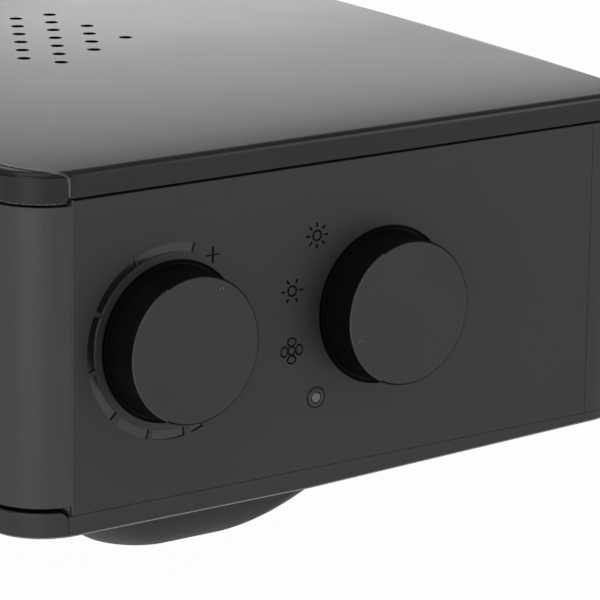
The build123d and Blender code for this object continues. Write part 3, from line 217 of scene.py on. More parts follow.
mould_grain, start, end = new_group(
    "mould_grain",
    [("Place", "NodeSocketVector", None), ("Grains per metre", "NodeSocketFloat", 2500.0)],
    [("Height", "NodeSocketFloat")],
)
fine = mould_grain.nodes.new("ShaderNodeTexNoise")
fine.inputs["Detail"].default_value = 3.0
fine.inputs["Roughness"].default_value = 0.6
mould_grain.links.new(start.outputs["Place"], fine.inputs["Vector"])
mould_grain.links.new(start.outputs["Grains per metre"], fine.inputs["Scale"])
mould_grain.links.new(fine.outputs["Fac"], end.inputs["Height"])

melt_flow, start, end = new_group(
    "melt_flow",
    [
        ("Place", "NodeSocketVector", None),
        ("Patches per metre", "NodeSocketFloat", 18.0),
        ("Dark", "NodeSocketColor", (0.01, 0.01, 0.01, 1.0)),
        ("Light", "NodeSocketColor", (0.02, 0.02, 0.02, 1.0)),
        ("Smooth", "NodeSocketFloat", 0.3),
        ("Dull", "NodeSocketFloat", 0.4),
    ],
    [("Color", "NodeSocketColor"), ("Roughness", "NodeSocketFloat")],
)
flow = melt_flow.nodes.new("ShaderNodeTexNoise")
flow.inputs["Detail"].default_value = 4.0
spread = melt_flow.nodes.new("ShaderNodeMapRange")
spread.inputs["From Min"].default_value = 0.35
spread.inputs["From Max"].default_value = 0.65
tint = melt_flow.nodes.new("ShaderNodeMix")
tint.data_type = "RGBA"
gloss = melt_flow.nodes.new("ShaderNodeMapRange")
melt_flow.links.new(start.outputs["Place"], flow.inputs["Vector"])
melt_flow.links.new(start.outputs["Patches per metre"], flow.inputs["Scale"])
melt_flow.links.new(flow.outputs["Fac"], spread.inputs["Value"])
melt_flow.links.new(spread.outputs["Result"], tint.inputs["Factor"])
melt_flow.links.new(start.outputs["Dark"], tint.inputs["A"])
melt_flow.links.new(start.outputs["Light"], tint.inputs["B"])
melt_flow.links.new(spread.outputs["Result"], gloss.inputs["Value"])
melt_flow.links.new(start.outputs["Smooth"], gloss.inputs["To Min"])
melt_flow.links.new(start.outputs["Dull"], gloss.inputs["To Max"])
melt_flow.links.new(tint.outputs["Result"], end.inputs["Color"])
melt_flow.links.new(gloss.outputs["Result"], end.inputs["Roughness"])
print("groups:", [g.name for g in bpy.data.node_groups])

# %% Group: the crown of the top
crown, start, end = new_group(
    "crown",
    [
        ("Place", "NodeSocketVector", None),
        ("Half length", "NodeSocketFloat", 0.16),
        ("Arc", "NodeSocketFloat", 0.0028),
        ("Edge drop", "NodeSocketFloat", 0.0007),
        ("Edge reach", "NodeSocketFloat", 0.014),
    ],
    [("Height", "NodeSocketFloat")],
)


def crown_math(operation, first, second=None):
    """Math node of the crown group with its inputs linked or set."""
    node = crown.nodes.new("ShaderNodeMath")
    node.operation = operation
    for socket, value in zip(node.inputs, (first, second)):
        if isinstance(value, float):
            socket.default_value = value
        elif value is not None:
            crown.links.new(value, socket)
    return node.outputs[0]


sides = crown.nodes.new("ShaderNodeSeparateXYZ")
crown.links.new(start.outputs["Place"], sides.inputs[0])
out = crown_math("ABSOLUTE", sides.outputs["X"])
share_out = crown_math("DIVIDE", out, start.outputs["Half length"])
arc = crown_math("MULTIPLY", crown_math("MULTIPLY", share_out, share_out), start.outputs["Arc"])
inward = crown_math("SUBTRACT", out, start.outputs["Half length"])
fall = crown_math("EXPONENT", crown_math("DIVIDE", inward, start.outputs["Edge reach"]))
drop = crown_math("ADD", arc, crown_math("MULTIPLY", fall, start.outputs["Edge drop"]))
crown.links.new(crown_math("MULTIPLY", drop, -1.0), end.inputs["Height"])
print("group:", crown.name)

# %% Group: drawn lines on metal
drawn_lines, start, end = new_group(
    "drawn_lines",
    [
        ("Place", "NodeSocketVector", None),
        ("Stretch", "NodeSocketVector", (1.0, 1.0, 0.03)),
        ("Lines per metre", "NodeSocketFloat", 3000.0),
        ("Smooth", "NodeSocketFloat", 0.25),
        ("Dull", "NodeSocketFloat", 0.45),
    ],
    [("Roughness", "NodeSocketFloat"), ("Height", "NodeSocketFloat")],
)
pull = drawn_lines.nodes.new("ShaderNodeVectorMath")
pull.operation = "MULTIPLY"
lines = drawn_lines.nodes.new("ShaderNodeTexNoise")
lines.inputs["Detail"].default_value = 2.0
gloss = drawn_lines.nodes.new("ShaderNodeMapRange")
drawn_lines.links.new(start.outputs["Place"], pull.inputs[0])
drawn_lines.links.new(start.outputs["Stretch"], pull.inputs[1])
drawn_lines.links.new(pull.outputs["Vector"], lines.inputs["Vector"])
drawn_lines.links.new(start.outputs["Lines per metre"], lines.inputs["Scale"])
drawn_lines.links.new(lines.outputs["Fac"], gloss.inputs["Value"])
drawn_lines.links.new(start.outputs["Smooth"], gloss.inputs["To Min"])
drawn_lines.links.new(start.outputs["Dull"], gloss.inputs["To Max"])
drawn_lines.links.new(gloss.outputs["Result"], end.inputs["Roughness"])
drawn_lines.links.new(lines.outputs["Fac"], end.inputs["Height"])
print("group:", drawn_lines.name)

# %% [markdown]
# ## Finishes
# A finish could be one flat colour, but then every face of the heater would look like a drawing. Each
# plastic here reads the place on the piece, sends it through the two plastic groups and raises the grain
# with a bump. The black covers are fairly smooth, and the knob panel is eroded to a duller texture. The
# scale's sunk bars are polished. Four kinds of edge get painted highlights, lighter and glossier finishes,
# each to its own brightness; gaps, recesses, grooves and the knobs' ribbed sides get near-black painted
# shade, and the lower parts a lighter black as painted light. Pieces that only show through the grille get
# the same care, in less light.


# %% A moulded plastic
def moulded(name, dark, light, smooth, dull, grains=2500.0, grain_mm=0.01, patches=18.0, **sockets):
    """Plastic whose tone and gloss drift between two values, under a fine grain."""
    finish = bpy.data.materials.new(name)
    finish.use_nodes = True
    nodes, links = finish.node_tree.nodes, finish.node_tree.links
    shader = nodes["Principled BSDF"]
    place = nodes.new("ShaderNodeTexCoord")
    tone = nodes.new("ShaderNodeGroup")
    tone.node_tree = melt_flow
    tone.inputs["Patches per metre"].default_value = patches
    tone.inputs["Dark"].default_value = (*dark, 1.0)
    tone.inputs["Light"].default_value = (*light, 1.0)
    tone.inputs["Smooth"].default_value = smooth
    tone.inputs["Dull"].default_value = dull
    grain = nodes.new("ShaderNodeGroup")
    grain.node_tree = mould_grain
    grain.inputs["Grains per metre"].default_value = grains
    bump = nodes.new("ShaderNodeBump")
    bump.inputs["Strength"].default_value = 1.0
    bump.inputs["Distance"].default_value = grain_mm * MM
    links.new(place.outputs["Object"], tone.inputs["Place"])
    links.new(place.outputs["Object"], grain.inputs["Place"])
    links.new(tone.outputs["Color"], shader.inputs["Base Color"])
    links.new(tone.outputs["Roughness"], shader.inputs["Roughness"])
    links.new(grain.outputs["Height"], bump.inputs["Height"])
    links.new(bump.outputs["Normal"], shader.inputs["Normal"])
    for socket_name, value in sockets.items():
        shader.inputs[socket_name.replace("_", " ")].default_value = value
    return finish


def add_crown(finish):
    """Puts the crown's slope under the grain of a finish."""
    nodes, links = finish.node_tree.nodes, finish.node_tree.links
    place = next(n for n in nodes if n.type == "TEX_COORD")
    grain_bump = next(n for n in nodes if n.type == "BUMP")
    form = nodes.new("ShaderNodeGroup")
    form.node_tree = crown
    form_bump = nodes.new("ShaderNodeBump")
    form_bump.inputs["Strength"].default_value = 1.0
    form_bump.inputs["Distance"].default_value = 1.0
    links.new(place.outputs["Object"], form.inputs["Place"])
    links.new(form.outputs["Height"], form_bump.inputs["Height"])
    links.new(form_bump.outputs["Normal"], grain_bump.inputs["Normal"])


def polished(name, dark, light, smooth, ior):
    """Polished plastic in a lighter tone, with hardly any grain left: the painted highlight of edges and
    lines.
    """
    return moulded(name, dark, light, smooth, smooth + 0.04, 1800.0, 0.003, IOR=ior)


COVER_TONES = ((0.006, 0.006, 0.006), (0.009, 0.009, 0.009))
cover_black = moulded("cover_black", *COVER_TONES, 0.27, 0.3, 1800.0, 0.006, 12.0, Specular_IOR_Level=0.36)
top_black = moulded("top_black", *COVER_TONES, 0.22, 0.25, 1800.0, 0.006, 12.0, Specular_IOR_Level=0.38)
add_crown(top_black)
panel_black = moulded("panel_black", (0.012, 0.012, 0.012), (0.016, 0.016, 0.015), 0.44, 0.5, 2200.0, 0.012)
OUTLET_TONES = ((0.027, 0.027, 0.027), (0.033, 0.033, 0.033))
outlet_black = moulded("outlet_black", *OUTLET_TONES, 0.4, 0.46, 2000.0, 0.01)
# Painted light: a lighter black than the covers' for the lower parts, the bottom cover and the outlet's
# lower bar.
LOWER_TONES = ((0.011, 0.011, 0.011), (0.015, 0.015, 0.014))
lower_black_painted_light = moulded("lower_black_painted_light", *LOWER_TONES, 0.4, 0.46, 2000.0, 0.01)
FOOT_TONES = ((0.012, 0.0116, 0.01), (0.016, 0.0155, 0.0135))
foot_black = moulded("foot_black", *FOOT_TONES, 0.36, 0.42, 1800.0, 0.01, Specular_IOR_Level=0.2)
# Painted highlight: lighter and glossier than the covers, on the bevels of the shells' edges.
edge_painted_highlight = polished("edge_painted_highlight", (0.012, 0.012, 0.013), (0.018, 0.018, 0.019), 0.2, 1.9)
# Painted highlight: the lighter polish on the knobs' rims, on their side towards the outlet only.
knob_rim_painted_highlight = polished("knob_rim_painted_highlight", (0.012, 0.012, 0.013), (0.016, 0.016, 0.018), 0.22, 1.6)
# Painted highlight: the lighter, bluish finish of the tube along the upper bar's seam.
seam_painted_highlight = polished("seam_painted_highlight", (0.022, 0.024, 0.029), (0.026, 0.029, 0.035), 0.22, 1.75)
# Painted highlight, the lightest: on the lower edges of the bottom cover and the bars, and on the scale's
# inner walls.
bright_painted_highlight = polished("bright_painted_highlight", (0.05, 0.052, 0.058), (0.06, 0.063, 0.07), 0.2, 2.4)
# Near black for painted shade: the open joint, the recesses round the knobs, the knobs' rims away from the
# outlet and the signs' grooves.
PAINTED_SHADE_TONES = ((0.001, 0.001, 0.001), (0.002, 0.002, 0.002))
painted_shade_black = moulded("painted_shade_black", *PAINTED_SHADE_TONES, 0.6, 0.7, 1800.0, 0.01, Specular_IOR_Level=0.1)
sole_rubber = moulded("sole_rubber", (0.018, 0.018, 0.018), (0.03, 0.03, 0.03), 0.75, 0.9, 900.0, 0.03)
# Painted shade: the knobs' ribbed sides are far darker than their faces, for the shade between the ribs.
KNOB_SIDE_SHADE_TONES = ((0.0015, 0.0015, 0.002), (0.0025, 0.0025, 0.003))
knob_side_painted_shade = moulded("knob_side_painted_shade", *KNOB_SIDE_SHADE_TONES, 0.42, 0.5, 1800.0, 0.006, Specular_IOR_Level=0.15)
knob_face = moulded("knob_face", *LOWER_TONES, 0.4, 0.46, 2200.0, 0.01)
# Painted highlight: the real dimple gets a lighter, glossier finish than the face, for the glint in its
# hollow.
dimple_painted_glint = moulded("dimple_painted_glint", (0.03, 0.03, 0.03), (0.04, 0.04, 0.04), 0.1, 0.14, 1200.0, 0.002)
SCALE_TONES = ((0.004, 0.004, 0.004), (0.005, 0.005, 0.005))
scale_polished = moulded("scale_polished", *SCALE_TONES, 0.14, 0.18, 1200.0, 0.002, Specular_IOR_Level=0.75)
# Painted shade: near black in the signs' grooves.
sign_groove_painted_shade = moulded("sign_groove_painted_shade", *PAINTED_SHADE_TONES, 0.5, 0.6, 2500.0, 0.01, Specular_IOR_Level=0.15)
print("black plastics:", [m.name for m in bpy.data.materials])

# %% Plastics inside the case
PHENOLIC_TONES = ((0.05, 0.026, 0.015), (0.09, 0.045, 0.026))
phenolic_brown = moulded("phenolic_brown", *PHENOLIC_TONES, 0.4, 0.55, 900.0, 0.03)
duct_black = moulded("duct_black", (0.02, 0.02, 0.021), (0.032, 0.032, 0.033), 0.45, 0.58, 1500.0, 0.015)
natural_white = moulded("natural_white", (0.66, 0.63, 0.55), (0.74, 0.71, 0.64), 0.4, 0.5, 1200.0, 0.01)
mica_board = moulded("mica_board", (0.42, 0.38, 0.29), (0.54, 0.49, 0.4), 0.35, 0.55, 500.0, 0.04, 60.0)
coil_tape = moulded("coil_tape", (0.42, 0.29, 0.04), (0.54, 0.39, 0.07), 0.3, 0.42, 700.0, 0.03)
gland_black = moulded("gland_black", (0.012, 0.012, 0.012), (0.018, 0.018, 0.018), 0.4, 0.5, 1800.0, 0.01)
LENS_TONES = ((0.15, 0.18, 0.22), (0.2, 0.235, 0.28))
lens_frosted = moulded("lens_frosted", *LENS_TONES, 0.3, 0.42, 1500.0, 0.01, Transmission_Weight=0.35)
LAMP_TONES = ((0.66, 0.66, 0.62), (0.74, 0.74, 0.7))
lamp_glass = moulded("lamp_glass", *LAMP_TONES, 0.05, 0.1, 800.0, 0.001, Transmission_Weight=0.7)
print("finishes so far:", len(bpy.data.materials))


# %% A metal with drawn lines
def drawn_metal(name, dark, light, smooth, dull, stretch, lines=3000.0, depth_mm=0.004, metal=1.0):
    """Metal whose gloss runs in fine lines, under a faint drift of tone."""
    finish = bpy.data.materials.new(name)
    finish.use_nodes = True
    nodes, links = finish.node_tree.nodes, finish.node_tree.links
    shader = nodes["Principled BSDF"]
    shader.inputs["Metallic"].default_value = metal
    place = nodes.new("ShaderNodeTexCoord")
    tone = nodes.new("ShaderNodeGroup")
    tone.node_tree = melt_flow
    tone.inputs["Patches per metre"].default_value = 90.0
    tone.inputs["Dark"].default_value = (*dark, 1.0)
    tone.inputs["Light"].default_value = (*light, 1.0)
    streaks = nodes.new("ShaderNodeGroup")
    streaks.node_tree = drawn_lines
    streaks.inputs["Stretch"].default_value = stretch
    streaks.inputs["Lines per metre"].default_value = lines
    streaks.inputs["Smooth"].default_value = smooth
    streaks.inputs["Dull"].default_value = dull
    bump = nodes.new("ShaderNodeBump")
    bump.inputs["Distance"].default_value = depth_mm * MM
    links.new(place.outputs["Object"], tone.inputs["Place"])
    links.new(place.outputs["Object"], streaks.inputs["Place"])
    links.new(tone.outputs["Color"], shader.inputs["Base Color"])
    links.new(streaks.outputs["Roughness"], shader.inputs["Roughness"])
    links.new(streaks.outputs["Height"], bump.inputs["Height"])
    links.new(bump.outputs["Normal"], shader.inputs["Normal"])
    return finish


ACROSS_X = (0.03, 1.0, 1.0)
zinc_steel = drawn_metal("zinc_steel", (0.5, 0.5, 0.48), (0.62, 0.62, 0.61), 0.25, 0.42, ACROSS_X)
ACROSS_SHEETS = (1.0, 0.02, 0.02)
sheet_layers = drawn_metal(
    "sheet_layers", (0.16, 0.16, 0.17), (0.26, 0.26, 0.27), 0.4, 0.6, ACROSS_SHEETS, 2200.0, 0.03
)
impeller_sheet = drawn_metal("impeller_sheet", (0.5, 0.5, 0.51), (0.62, 0.62, 0.63), 0.35, 0.5, ACROSS_X)
bronze_bush = drawn_metal("bronze_bush", (0.42, 0.27, 0.13), (0.52, 0.35, 0.18), 0.4, 0.55, ACROSS_X)
ALONG_FINS = (1.0, 0.2, 0.03)
fin_aluminium = drawn_metal("fin_aluminium", (0.55, 0.55, 0.56), (0.7, 0.7, 0.71), 0.3, 0.5, ALONG_FINS)
print("finishes:", len(bpy.data.materials))

# %% Finishes on the CAD nodes
FINISHES = {
    "cover": cover_black,
    "panel": panel_black,
    "foot": foot_black,
    "sole": sole_rubber,
    "knob": knob_side_painted_shade,
    "steel": zinc_steel,
    "phenolic": phenolic_brown,
    "lens": lens_frosted,
    "lamp": lamp_glass,
    "duct": duct_black,
    "impeller": impeller_sheet,
    "bearing": bronze_bush,
    "lamination": sheet_layers,
    "winding": coil_tape,
    "heat_resistant": mica_board,
    "fins": fin_aluminium,
    "natural_plastic": natural_white,
    "gland": gland_black,
}
for entry in frame["record"]["subparts"]:
    mesh = frame["nodes"][entry["node"]].data
    mesh.materials.clear()
    mesh.materials.append(FINISHES[entry["material_slot"]])

# %% [markdown]
# ## The case's shells, with softened edges
# A moulded edge is never quite sharp: the steel of the mould is worn there, and the thin rounding catches
# a line of light along every joint. The CAD mesh is loose triangles and stays as it is, so each shell that
# shows gets a copy: its triangles are welded and merged into whole faces, its edges get a small bevel in a
# lighter, glossier finish, a painted highlight, and its normals are weighted so that the flat faces stay
# flat in the light.


# %% Helpers for finished pieces
def only(piece):
    """Selects one piece alone and makes it active."""
    for other in bpy.context.selected_objects:
        other.select_set(False)
    bpy.context.view_layer.objects.active = piece
    piece.select_set(True)


def apply_modifiers(piece):
    """Applies the modifiers of a piece from the top down."""
    only(piece)
    for modifier in list(piece.modifiers):
        bpy.ops.object.modifier_apply(modifier=modifier.name)


def settle(piece):
    """Moves a piece's place, turn and size into its mesh."""
    only(piece)
    bpy.ops.object.transform_apply(location=True, rotation=True, scale=True)


def join(pieces, name):
    """One object from several."""
    only(pieces[0])
    for piece in pieces:
        piece.select_set(True)
    bpy.ops.object.join()
    joined = bpy.context.object
    joined.name = name
    return joined


def open_edges(piece):
    """Edges that don't have exactly two faces: none on a closed piece."""
    mesh = bmesh.new()
    mesh.from_mesh(piece.data)
    count = sum(1 for edge in mesh.edges if len(edge.link_faces) != 2)
    mesh.free()
    return count


# %% A shell copied from its CAD node
def carry_over(node, name, finish):
    """Copy of a CAD node's mesh with welded triangles, as an object of its own."""
    source = frame["nodes"][node]
    piece = bpy.data.objects.new(name, source.data.copy())
    bpy.context.scene.collection.objects.link(piece)
    piece.data.materials.clear()
    piece.data.materials.append(finish)
    only(piece)
    if piece.data.has_custom_normals:
        bpy.ops.mesh.customdata_custom_splitnormals_clear()
    bpy.ops.object.mode_set(mode="EDIT")
    bpy.ops.mesh.select_all(action="SELECT")
    bpy.ops.mesh.remove_doubles(threshold=0.002 * MM)
    bpy.ops.mesh.dissolve_limited(angle_limit=radians(0.4), delimit={"MATERIAL"})
    bpy.ops.object.mode_set(mode="OBJECT")
    return piece


def soften(piece, width_mm, angle=35.0, segments=2, polish=None):
    """Small rounding along every edge sharper than the angle, with a painted highlight, a finish of its own
    on the rounding, if one is given.
    """
    bevel = piece.modifiers.new("soft_edges", "BEVEL")
    bevel.width = width_mm * MM
    bevel.segments = segments
    bevel.limit_method = "ANGLE"
    bevel.angle_limit = radians(angle)
    bevel.use_clamp_overlap = True
    bevel.miter_outer = "MITER_ARC"
    # A given finish on the bevel's faces is a painted highlight, lighter and glossier than the piece.
    if polish:
        piece.data.materials.append(polish)
        bevel.material = len(piece.data.materials) - 1
    apply_modifiers(piece)


def shade(piece, angle=30.0):
    """Smooth shading with flat faces kept flat."""
    only(piece)
    bpy.ops.object.shade_smooth_by_angle(angle=radians(angle))
    weights = piece.modifiers.new("weights", "WEIGHTED_NORMAL")
    weights.keep_sharp = True
    weights.weight = 60
    apply_modifiers(piece)


def stand_for(piece, body, slot, *cad_nodes):
    """Fixes a finished piece to its body and hides the CAD nodes that it replaces; its material slot is not
    used.
    """
    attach(piece, body)
    if cad_nodes:
        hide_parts(*cad_nodes)
    print(piece.name, "faces:", len(piece.data.polygons), "open edges:", open_edges(piece))
    return piece


def press_in(piece, cutter, operation="DIFFERENCE"):
    """Takes a cutter out of a piece, with the cutter's finish in the groove, and deletes the cutter."""
    cut = piece.modifiers.new("cut", "BOOLEAN")
    cut.operation = operation
    cut.solver = "EXACT"
    cut.use_self = True
    cut.material_mode = "TRANSFER"
    cut.object = cutter
    apply_modifiers(piece)
    bpy.data.objects.remove(cutter)


def copy_of(piece):
    """Second object with the same mesh."""
    twin = bpy.data.objects.new(piece.name + "_twin", piece.data.copy())
    bpy.context.scene.collection.objects.link(twin)
    return twin


# %% [markdown]
# ## The ends of the outlet's bars
# Where the two bars of the outlet stop beside the end panel, their corners are rounded, and the grille's
# post fills the corner at a small distance. So the corner is cut out of the bar, and what comes off is
# not thrown away: moved a little, it is the very shape that the post needs there.

# %% Rounded ends of the outlet's bars, in millimetres
BAR_END_Y = -89.5
LOWER_BAR_TOP_Z = 44.1
UPPER_BAR_Z = 126.0
LOWER_END_R = 2.8
UPPER_END_R = 1.6
END_X = 154.0
END_LONG = 13.0
PAST = 1.0  # how far a cutter stands out of the bar
COVER_EDGE_BELOW_Z = 41.0  # where the painted highlight on the lower edge of the bottom cover ends
BAR_EDGE_BELOW_Z = 128.0  # and the ones of the bars
LOOKS_DOWN = (-0.97, -0.3)  # the upward part of such an edge's normals
# of a post's corner from the bar's end beside it: backwards, and away from the bar
CORNER_SHIFT = (0.55, 1.35)
# strip along the post's rear edge, from beside the lower bar to beside the upper one
POST_EDGE_LOW = (150.0, -88.6, 43.0)
POST_EDGE_HIGH = (159.95, -87.95, 126.9)


def end_cutter(edge_z, radius, towards):
    """What rounding takes off both ends of a bar: the upper corner (1) or the lower one (-1)."""
    wedges = []
    for side in (-1, 1):
        middle_y = BAR_END_Y + (PAST - radius) / 2
        middle_z = edge_z + towards * (PAST - radius) / 2
        middle = Vector((side * END_X, middle_y, middle_z)) * MM
        bpy.ops.mesh.primitive_cube_add(size=1.0, location=middle)
        wedge = bpy.context.object
        wedge.scale = (END_LONG * MM, (radius + PAST) * MM, (radius + PAST) * MM)
        settle(wedge)
        turned = Vector((side * END_X, BAR_END_Y - radius, edge_z - towards * radius)) * MM
        bpy.ops.mesh.primitive_cylinder_add(
            vertices=96,
            radius=radius * MM,
            depth=2 * END_LONG * MM,
            location=turned,
            rotation=(0.0, pi / 2, 0.0),
        )
        roller = bpy.context.object
        settle(roller)
        press_in(wedge, roller)
        wedges.append(wedge)
    return join(wedges, "end_cutter")


def round_bar_ends(bars):
    """Rounds the bars' ends and returns what the posts need there: their corners and edge strips."""
    corners = []
    ends = ((LOWER_BAR_TOP_Z, LOWER_END_R, 1), (UPPER_BAR_Z, UPPER_END_R, -1))
    for edge_z, radius, towards in ends:
        cutter = end_cutter(edge_z, radius, towards)
        corner = copy_of(bars)
        press_in(corner, copy_of(cutter), "INTERSECT")
        press_in(bars, cutter)
        corner.location = (0.0, CORNER_SHIFT[0] * MM, towards * CORNER_SHIFT[1] * MM)
        settle(corner)
        corners.append(corner)
    low, high = Vector(POST_EDGE_LOW), Vector(POST_EDGE_HIGH)
    for side in (-1, 1):
        middle = (low + high) / 2
        middle.x *= side
        bpy.ops.mesh.primitive_cube_add(size=1.0, location=middle * MM)
        edge = bpy.context.object
        edge.scale = (high - low) * MM
        settle(edge)
        corners.append(edge)
    return corners


def paint_highlight_on_lower_edges(shell, below_z):
    """Gives the faces of a shell that look down, below a height, the bright finish as a painted highlight.
    """
    shell.data.materials.append(bright_painted_highlight)
    lowest, highest = LOOKS_DOWN
    for face in shell.data.polygons:
        if face.center.z < below_z * MM and lowest < face.normal.z < highest:
            face.material_index = len(shell.data.materials) - 1


# %% The shells: CAD node, name, finish, material slot and the width of the soft edges in millimetres
SHELLS = (
    ("top_cover", "top_shell", top_black, "cover", 0.12),
    ("bottom_cover", "bottom_shell", lower_black_painted_light, "cover", 0.25),
    ("front_frame", "front_bars", cover_black, "cover", 0.25),
    ("left_end_panel", "plain_end_panel", panel_black, "panel", 0.2),
    ("rear_panel", "intake_panel", panel_black, "panel", 0.2),
    ("front_grille", "outlet_grille", outlet_black, "panel", 0.1),
    ("pedestal_foot", "oval_foot", foot_black, "foot", 0.2),
    ("foot_sole", "rubber_sole", sole_rubber, "sole", 0.15),
    ("cord_gland", "cord_entry", gland_black, "gland", 0.15),
)
post_corners = []
for cad_node, piece_name, finish, slot_name, edge_mm in SHELLS:
    shell = carry_over(cad_node, piece_name, finish)
    if piece_name == "front_bars":
        post_corners = round_bar_ends(shell)
    soften(shell, edge_mm, polish=edge_painted_highlight)
    if piece_name == "outlet_grille":
        for corner in post_corners:
            corner.data.materials.clear()
            corner.data.materials.append(finish)
        shell = join([shell, *post_corners], piece_name)
    # Painted light: the lower bar of this one moulding takes the lighter black of the bottom cover.
    if piece_name == "front_bars":
        shell.data.materials.append(lower_black_painted_light)
        for face in shell.data.polygons:
            if face.center.z < LOWER_BAR_TOP_Z * MM and face.material_index == 0:
                face.material_index = len(shell.data.materials) - 1
        paint_highlight_on_lower_edges(shell, BAR_EDGE_BELOW_Z)
    if piece_name == "bottom_shell":
        paint_highlight_on_lower_edges(shell, COVER_EDGE_BELOW_Z)
    shade(shell)
    stand_for(shell, "heater_body", slot_name, cad_node)

# %% [markdown]
# ## The rim of the upper bar
# The upper bar wraps over the body's front edge, and a bright line runs down the seam at both ends and
# across the top. The seam turns from the side to the top in a small curve. A thin tube of lighter, bluish
# polish follows it, half sunk in the plastic, as a painted highlight, and a thinner near-black one beside
# it is painted shade in the open joint.

# %% Path of the rim, in millimetres, from the foot of the side seam to the middle of the top
RIM_PATH = (
    (159.85, -89.1, 128.0),
    (159.85, -89.1, 130.6),
    (159.75, -89.2, 131.9),
    (159.45, -89.5, 132.85),
    (159.15, -90.0, 133.45),
    (158.75, -90.8, 133.8),
    (158.0, -92.0, 134.1),
    (157.0, -93.1, 134.22),
    (155.5, -94.3, 134.25),
    (153.5, -95.9, 134.25),
    (150.0, -97.6, 134.25),
    (144.0, -99.1, 134.25),
    (120.0, -101.3, 134.25),
    (80.0, -104.2, 134.25),
    (40.0, -105.9, 134.25),
    (0.0, -106.5, 134.25),
)
RIM_R = 0.42
JOINT_R = 0.16
JOINT_BACK = 0.52  # how far the open joint lies behind the rim


def seam_tube(name, radius_mm, back_mm, finish):
    """Thin tube along the whole seam, from one side of the body over the top to the other."""
    half = [Vector((x, y + back_mm, z)) * MM for x, y, z in RIM_PATH]
    points = half + [Vector((-p.x, p.y, p.z)) for p in reversed(half[:-1])]
    bpy.ops.curve.primitive_bezier_curve_add()
    tube = bpy.context.object
    tube.name = name
    tube.location = (0.0, 0.0, 0.0)
    tube.data.splines.clear()
    spline = tube.data.splines.new("POLY")
    spline.points.add(len(points) - 1)
    for spline_point, place in zip(spline.points, points):
        spline_point.co = (*place, 1.0)
    tube.data.bevel_depth = radius_mm * MM
    tube.data.bevel_resolution = 3
    tube.data.use_fill_caps = True
    only(tube)
    bpy.ops.object.convert(target="MESH")
    tube = bpy.context.object
    tube.data.materials.clear()
    tube.data.materials.append(finish)
    only(tube)
    bpy.ops.object.mode_set(mode="EDIT")
    bpy.ops.mesh.select_all(action="SELECT")
    bpy.ops.mesh.remove_doubles(threshold=0.001 * MM)
    bpy.ops.mesh.normals_make_consistent(inside=False)
    bpy.ops.object.mode_set(mode="OBJECT")
    shade(tube, 60.0)
    stand_for(tube, "heater_body", "cover")


# Painted highlight along the seam, and painted shade in the open joint beside it.
seam_tube("bar_rim_painted_highlight", RIM_R, 0.0, seam_painted_highlight)
seam_tube("bar_joint_painted_shade", JOINT_R, JOINT_BACK, painted_shade_black)

# %% [markdown]
# ## The knob panel and what is pressed into it
# The scale round the thermostat knob is seven sunk bars with polished floors, which grow warmer
# clockwise. The plus sign, the two suns and the fan are thin grooves, and the lamp has a turned ring.
# They could be drawn in the material, but a groove has a lit wall and a dark one, and that is what the
# eye reads. So cutters are modelled at their places and taken out of the panel, each with its own finish:
# the signs' grooves are near black as painted shade, and the bars' inner walls carry a painted highlight.

# %% Sizes of the panel's signs, in millimetres
PANEL_X = 160.0
KNOB_Z = 85.2
THERMOSTAT_Y = -57.4
MODE_Y = 12.1
RECESS_R = 21.95
SIGN_DEPTH = 0.45
STROKE = 0.6
THIN_STROKE = 0.38
SCALE_INNER_R = 24.0
SCALE_OUTER_R = 26.5
SCALE_DEPTH = 0.45
SCALE_STEP = 1.5  # degrees
# first and last angle of each bar, in degrees
SCALE_BARS = (
    (74.5, 116.0),
    (117.0, 154.0),
    (157.0, 190.0),
    (193.0, 224.0),
    (229.0, 253.0),
    (256.0, 279.0),
    (283.5, 292.0),
)
PLUS_ANGLE = 59.4
PLUS_R = 25.0
PLUS_ARM = 4.5
ICON_R = 32.0
BIG_SUN_ANGLE = 136.0
SMALL_SUN_ANGLE = 165.4
FAN_ANGLE = 195.3
LAMP_ANGLE = 225.0
SUN_R = 1.35
RAY_FROM = 2.3
RAY_TO = 3.6
PETAL_OUT = 2.45
PETAL_R = 1.35
PETAL_STROKE = 0.55
PETAL_STRETCH = (0.78, 1.0)
FAN_HUB_R = 1.15
FAN_HUB_STROKE = 0.5
LAMP_GROOVE_R = 2.85
LAMP_GROOVE_STROKE = 0.3
LAMP_RING_R = 2.05
LAMP_RING_HALF = 0.42  # half the ring's thickness


def round_knob(axis_y, radius, angle):
    """Place on the panel at a radius and an angle round a knob's axis, in metres."""
    out_y = radius * cos(radians(angle))
    out_z = radius * sin(radians(angle))
    return Vector((PANEL_X * MM, (axis_y + out_y) * MM, (KNOB_Z + out_z) * MM))


print("lamp at", [round(v / MM, 1) for v in round_knob(MODE_Y, ICON_R, LAMP_ANGLE)])


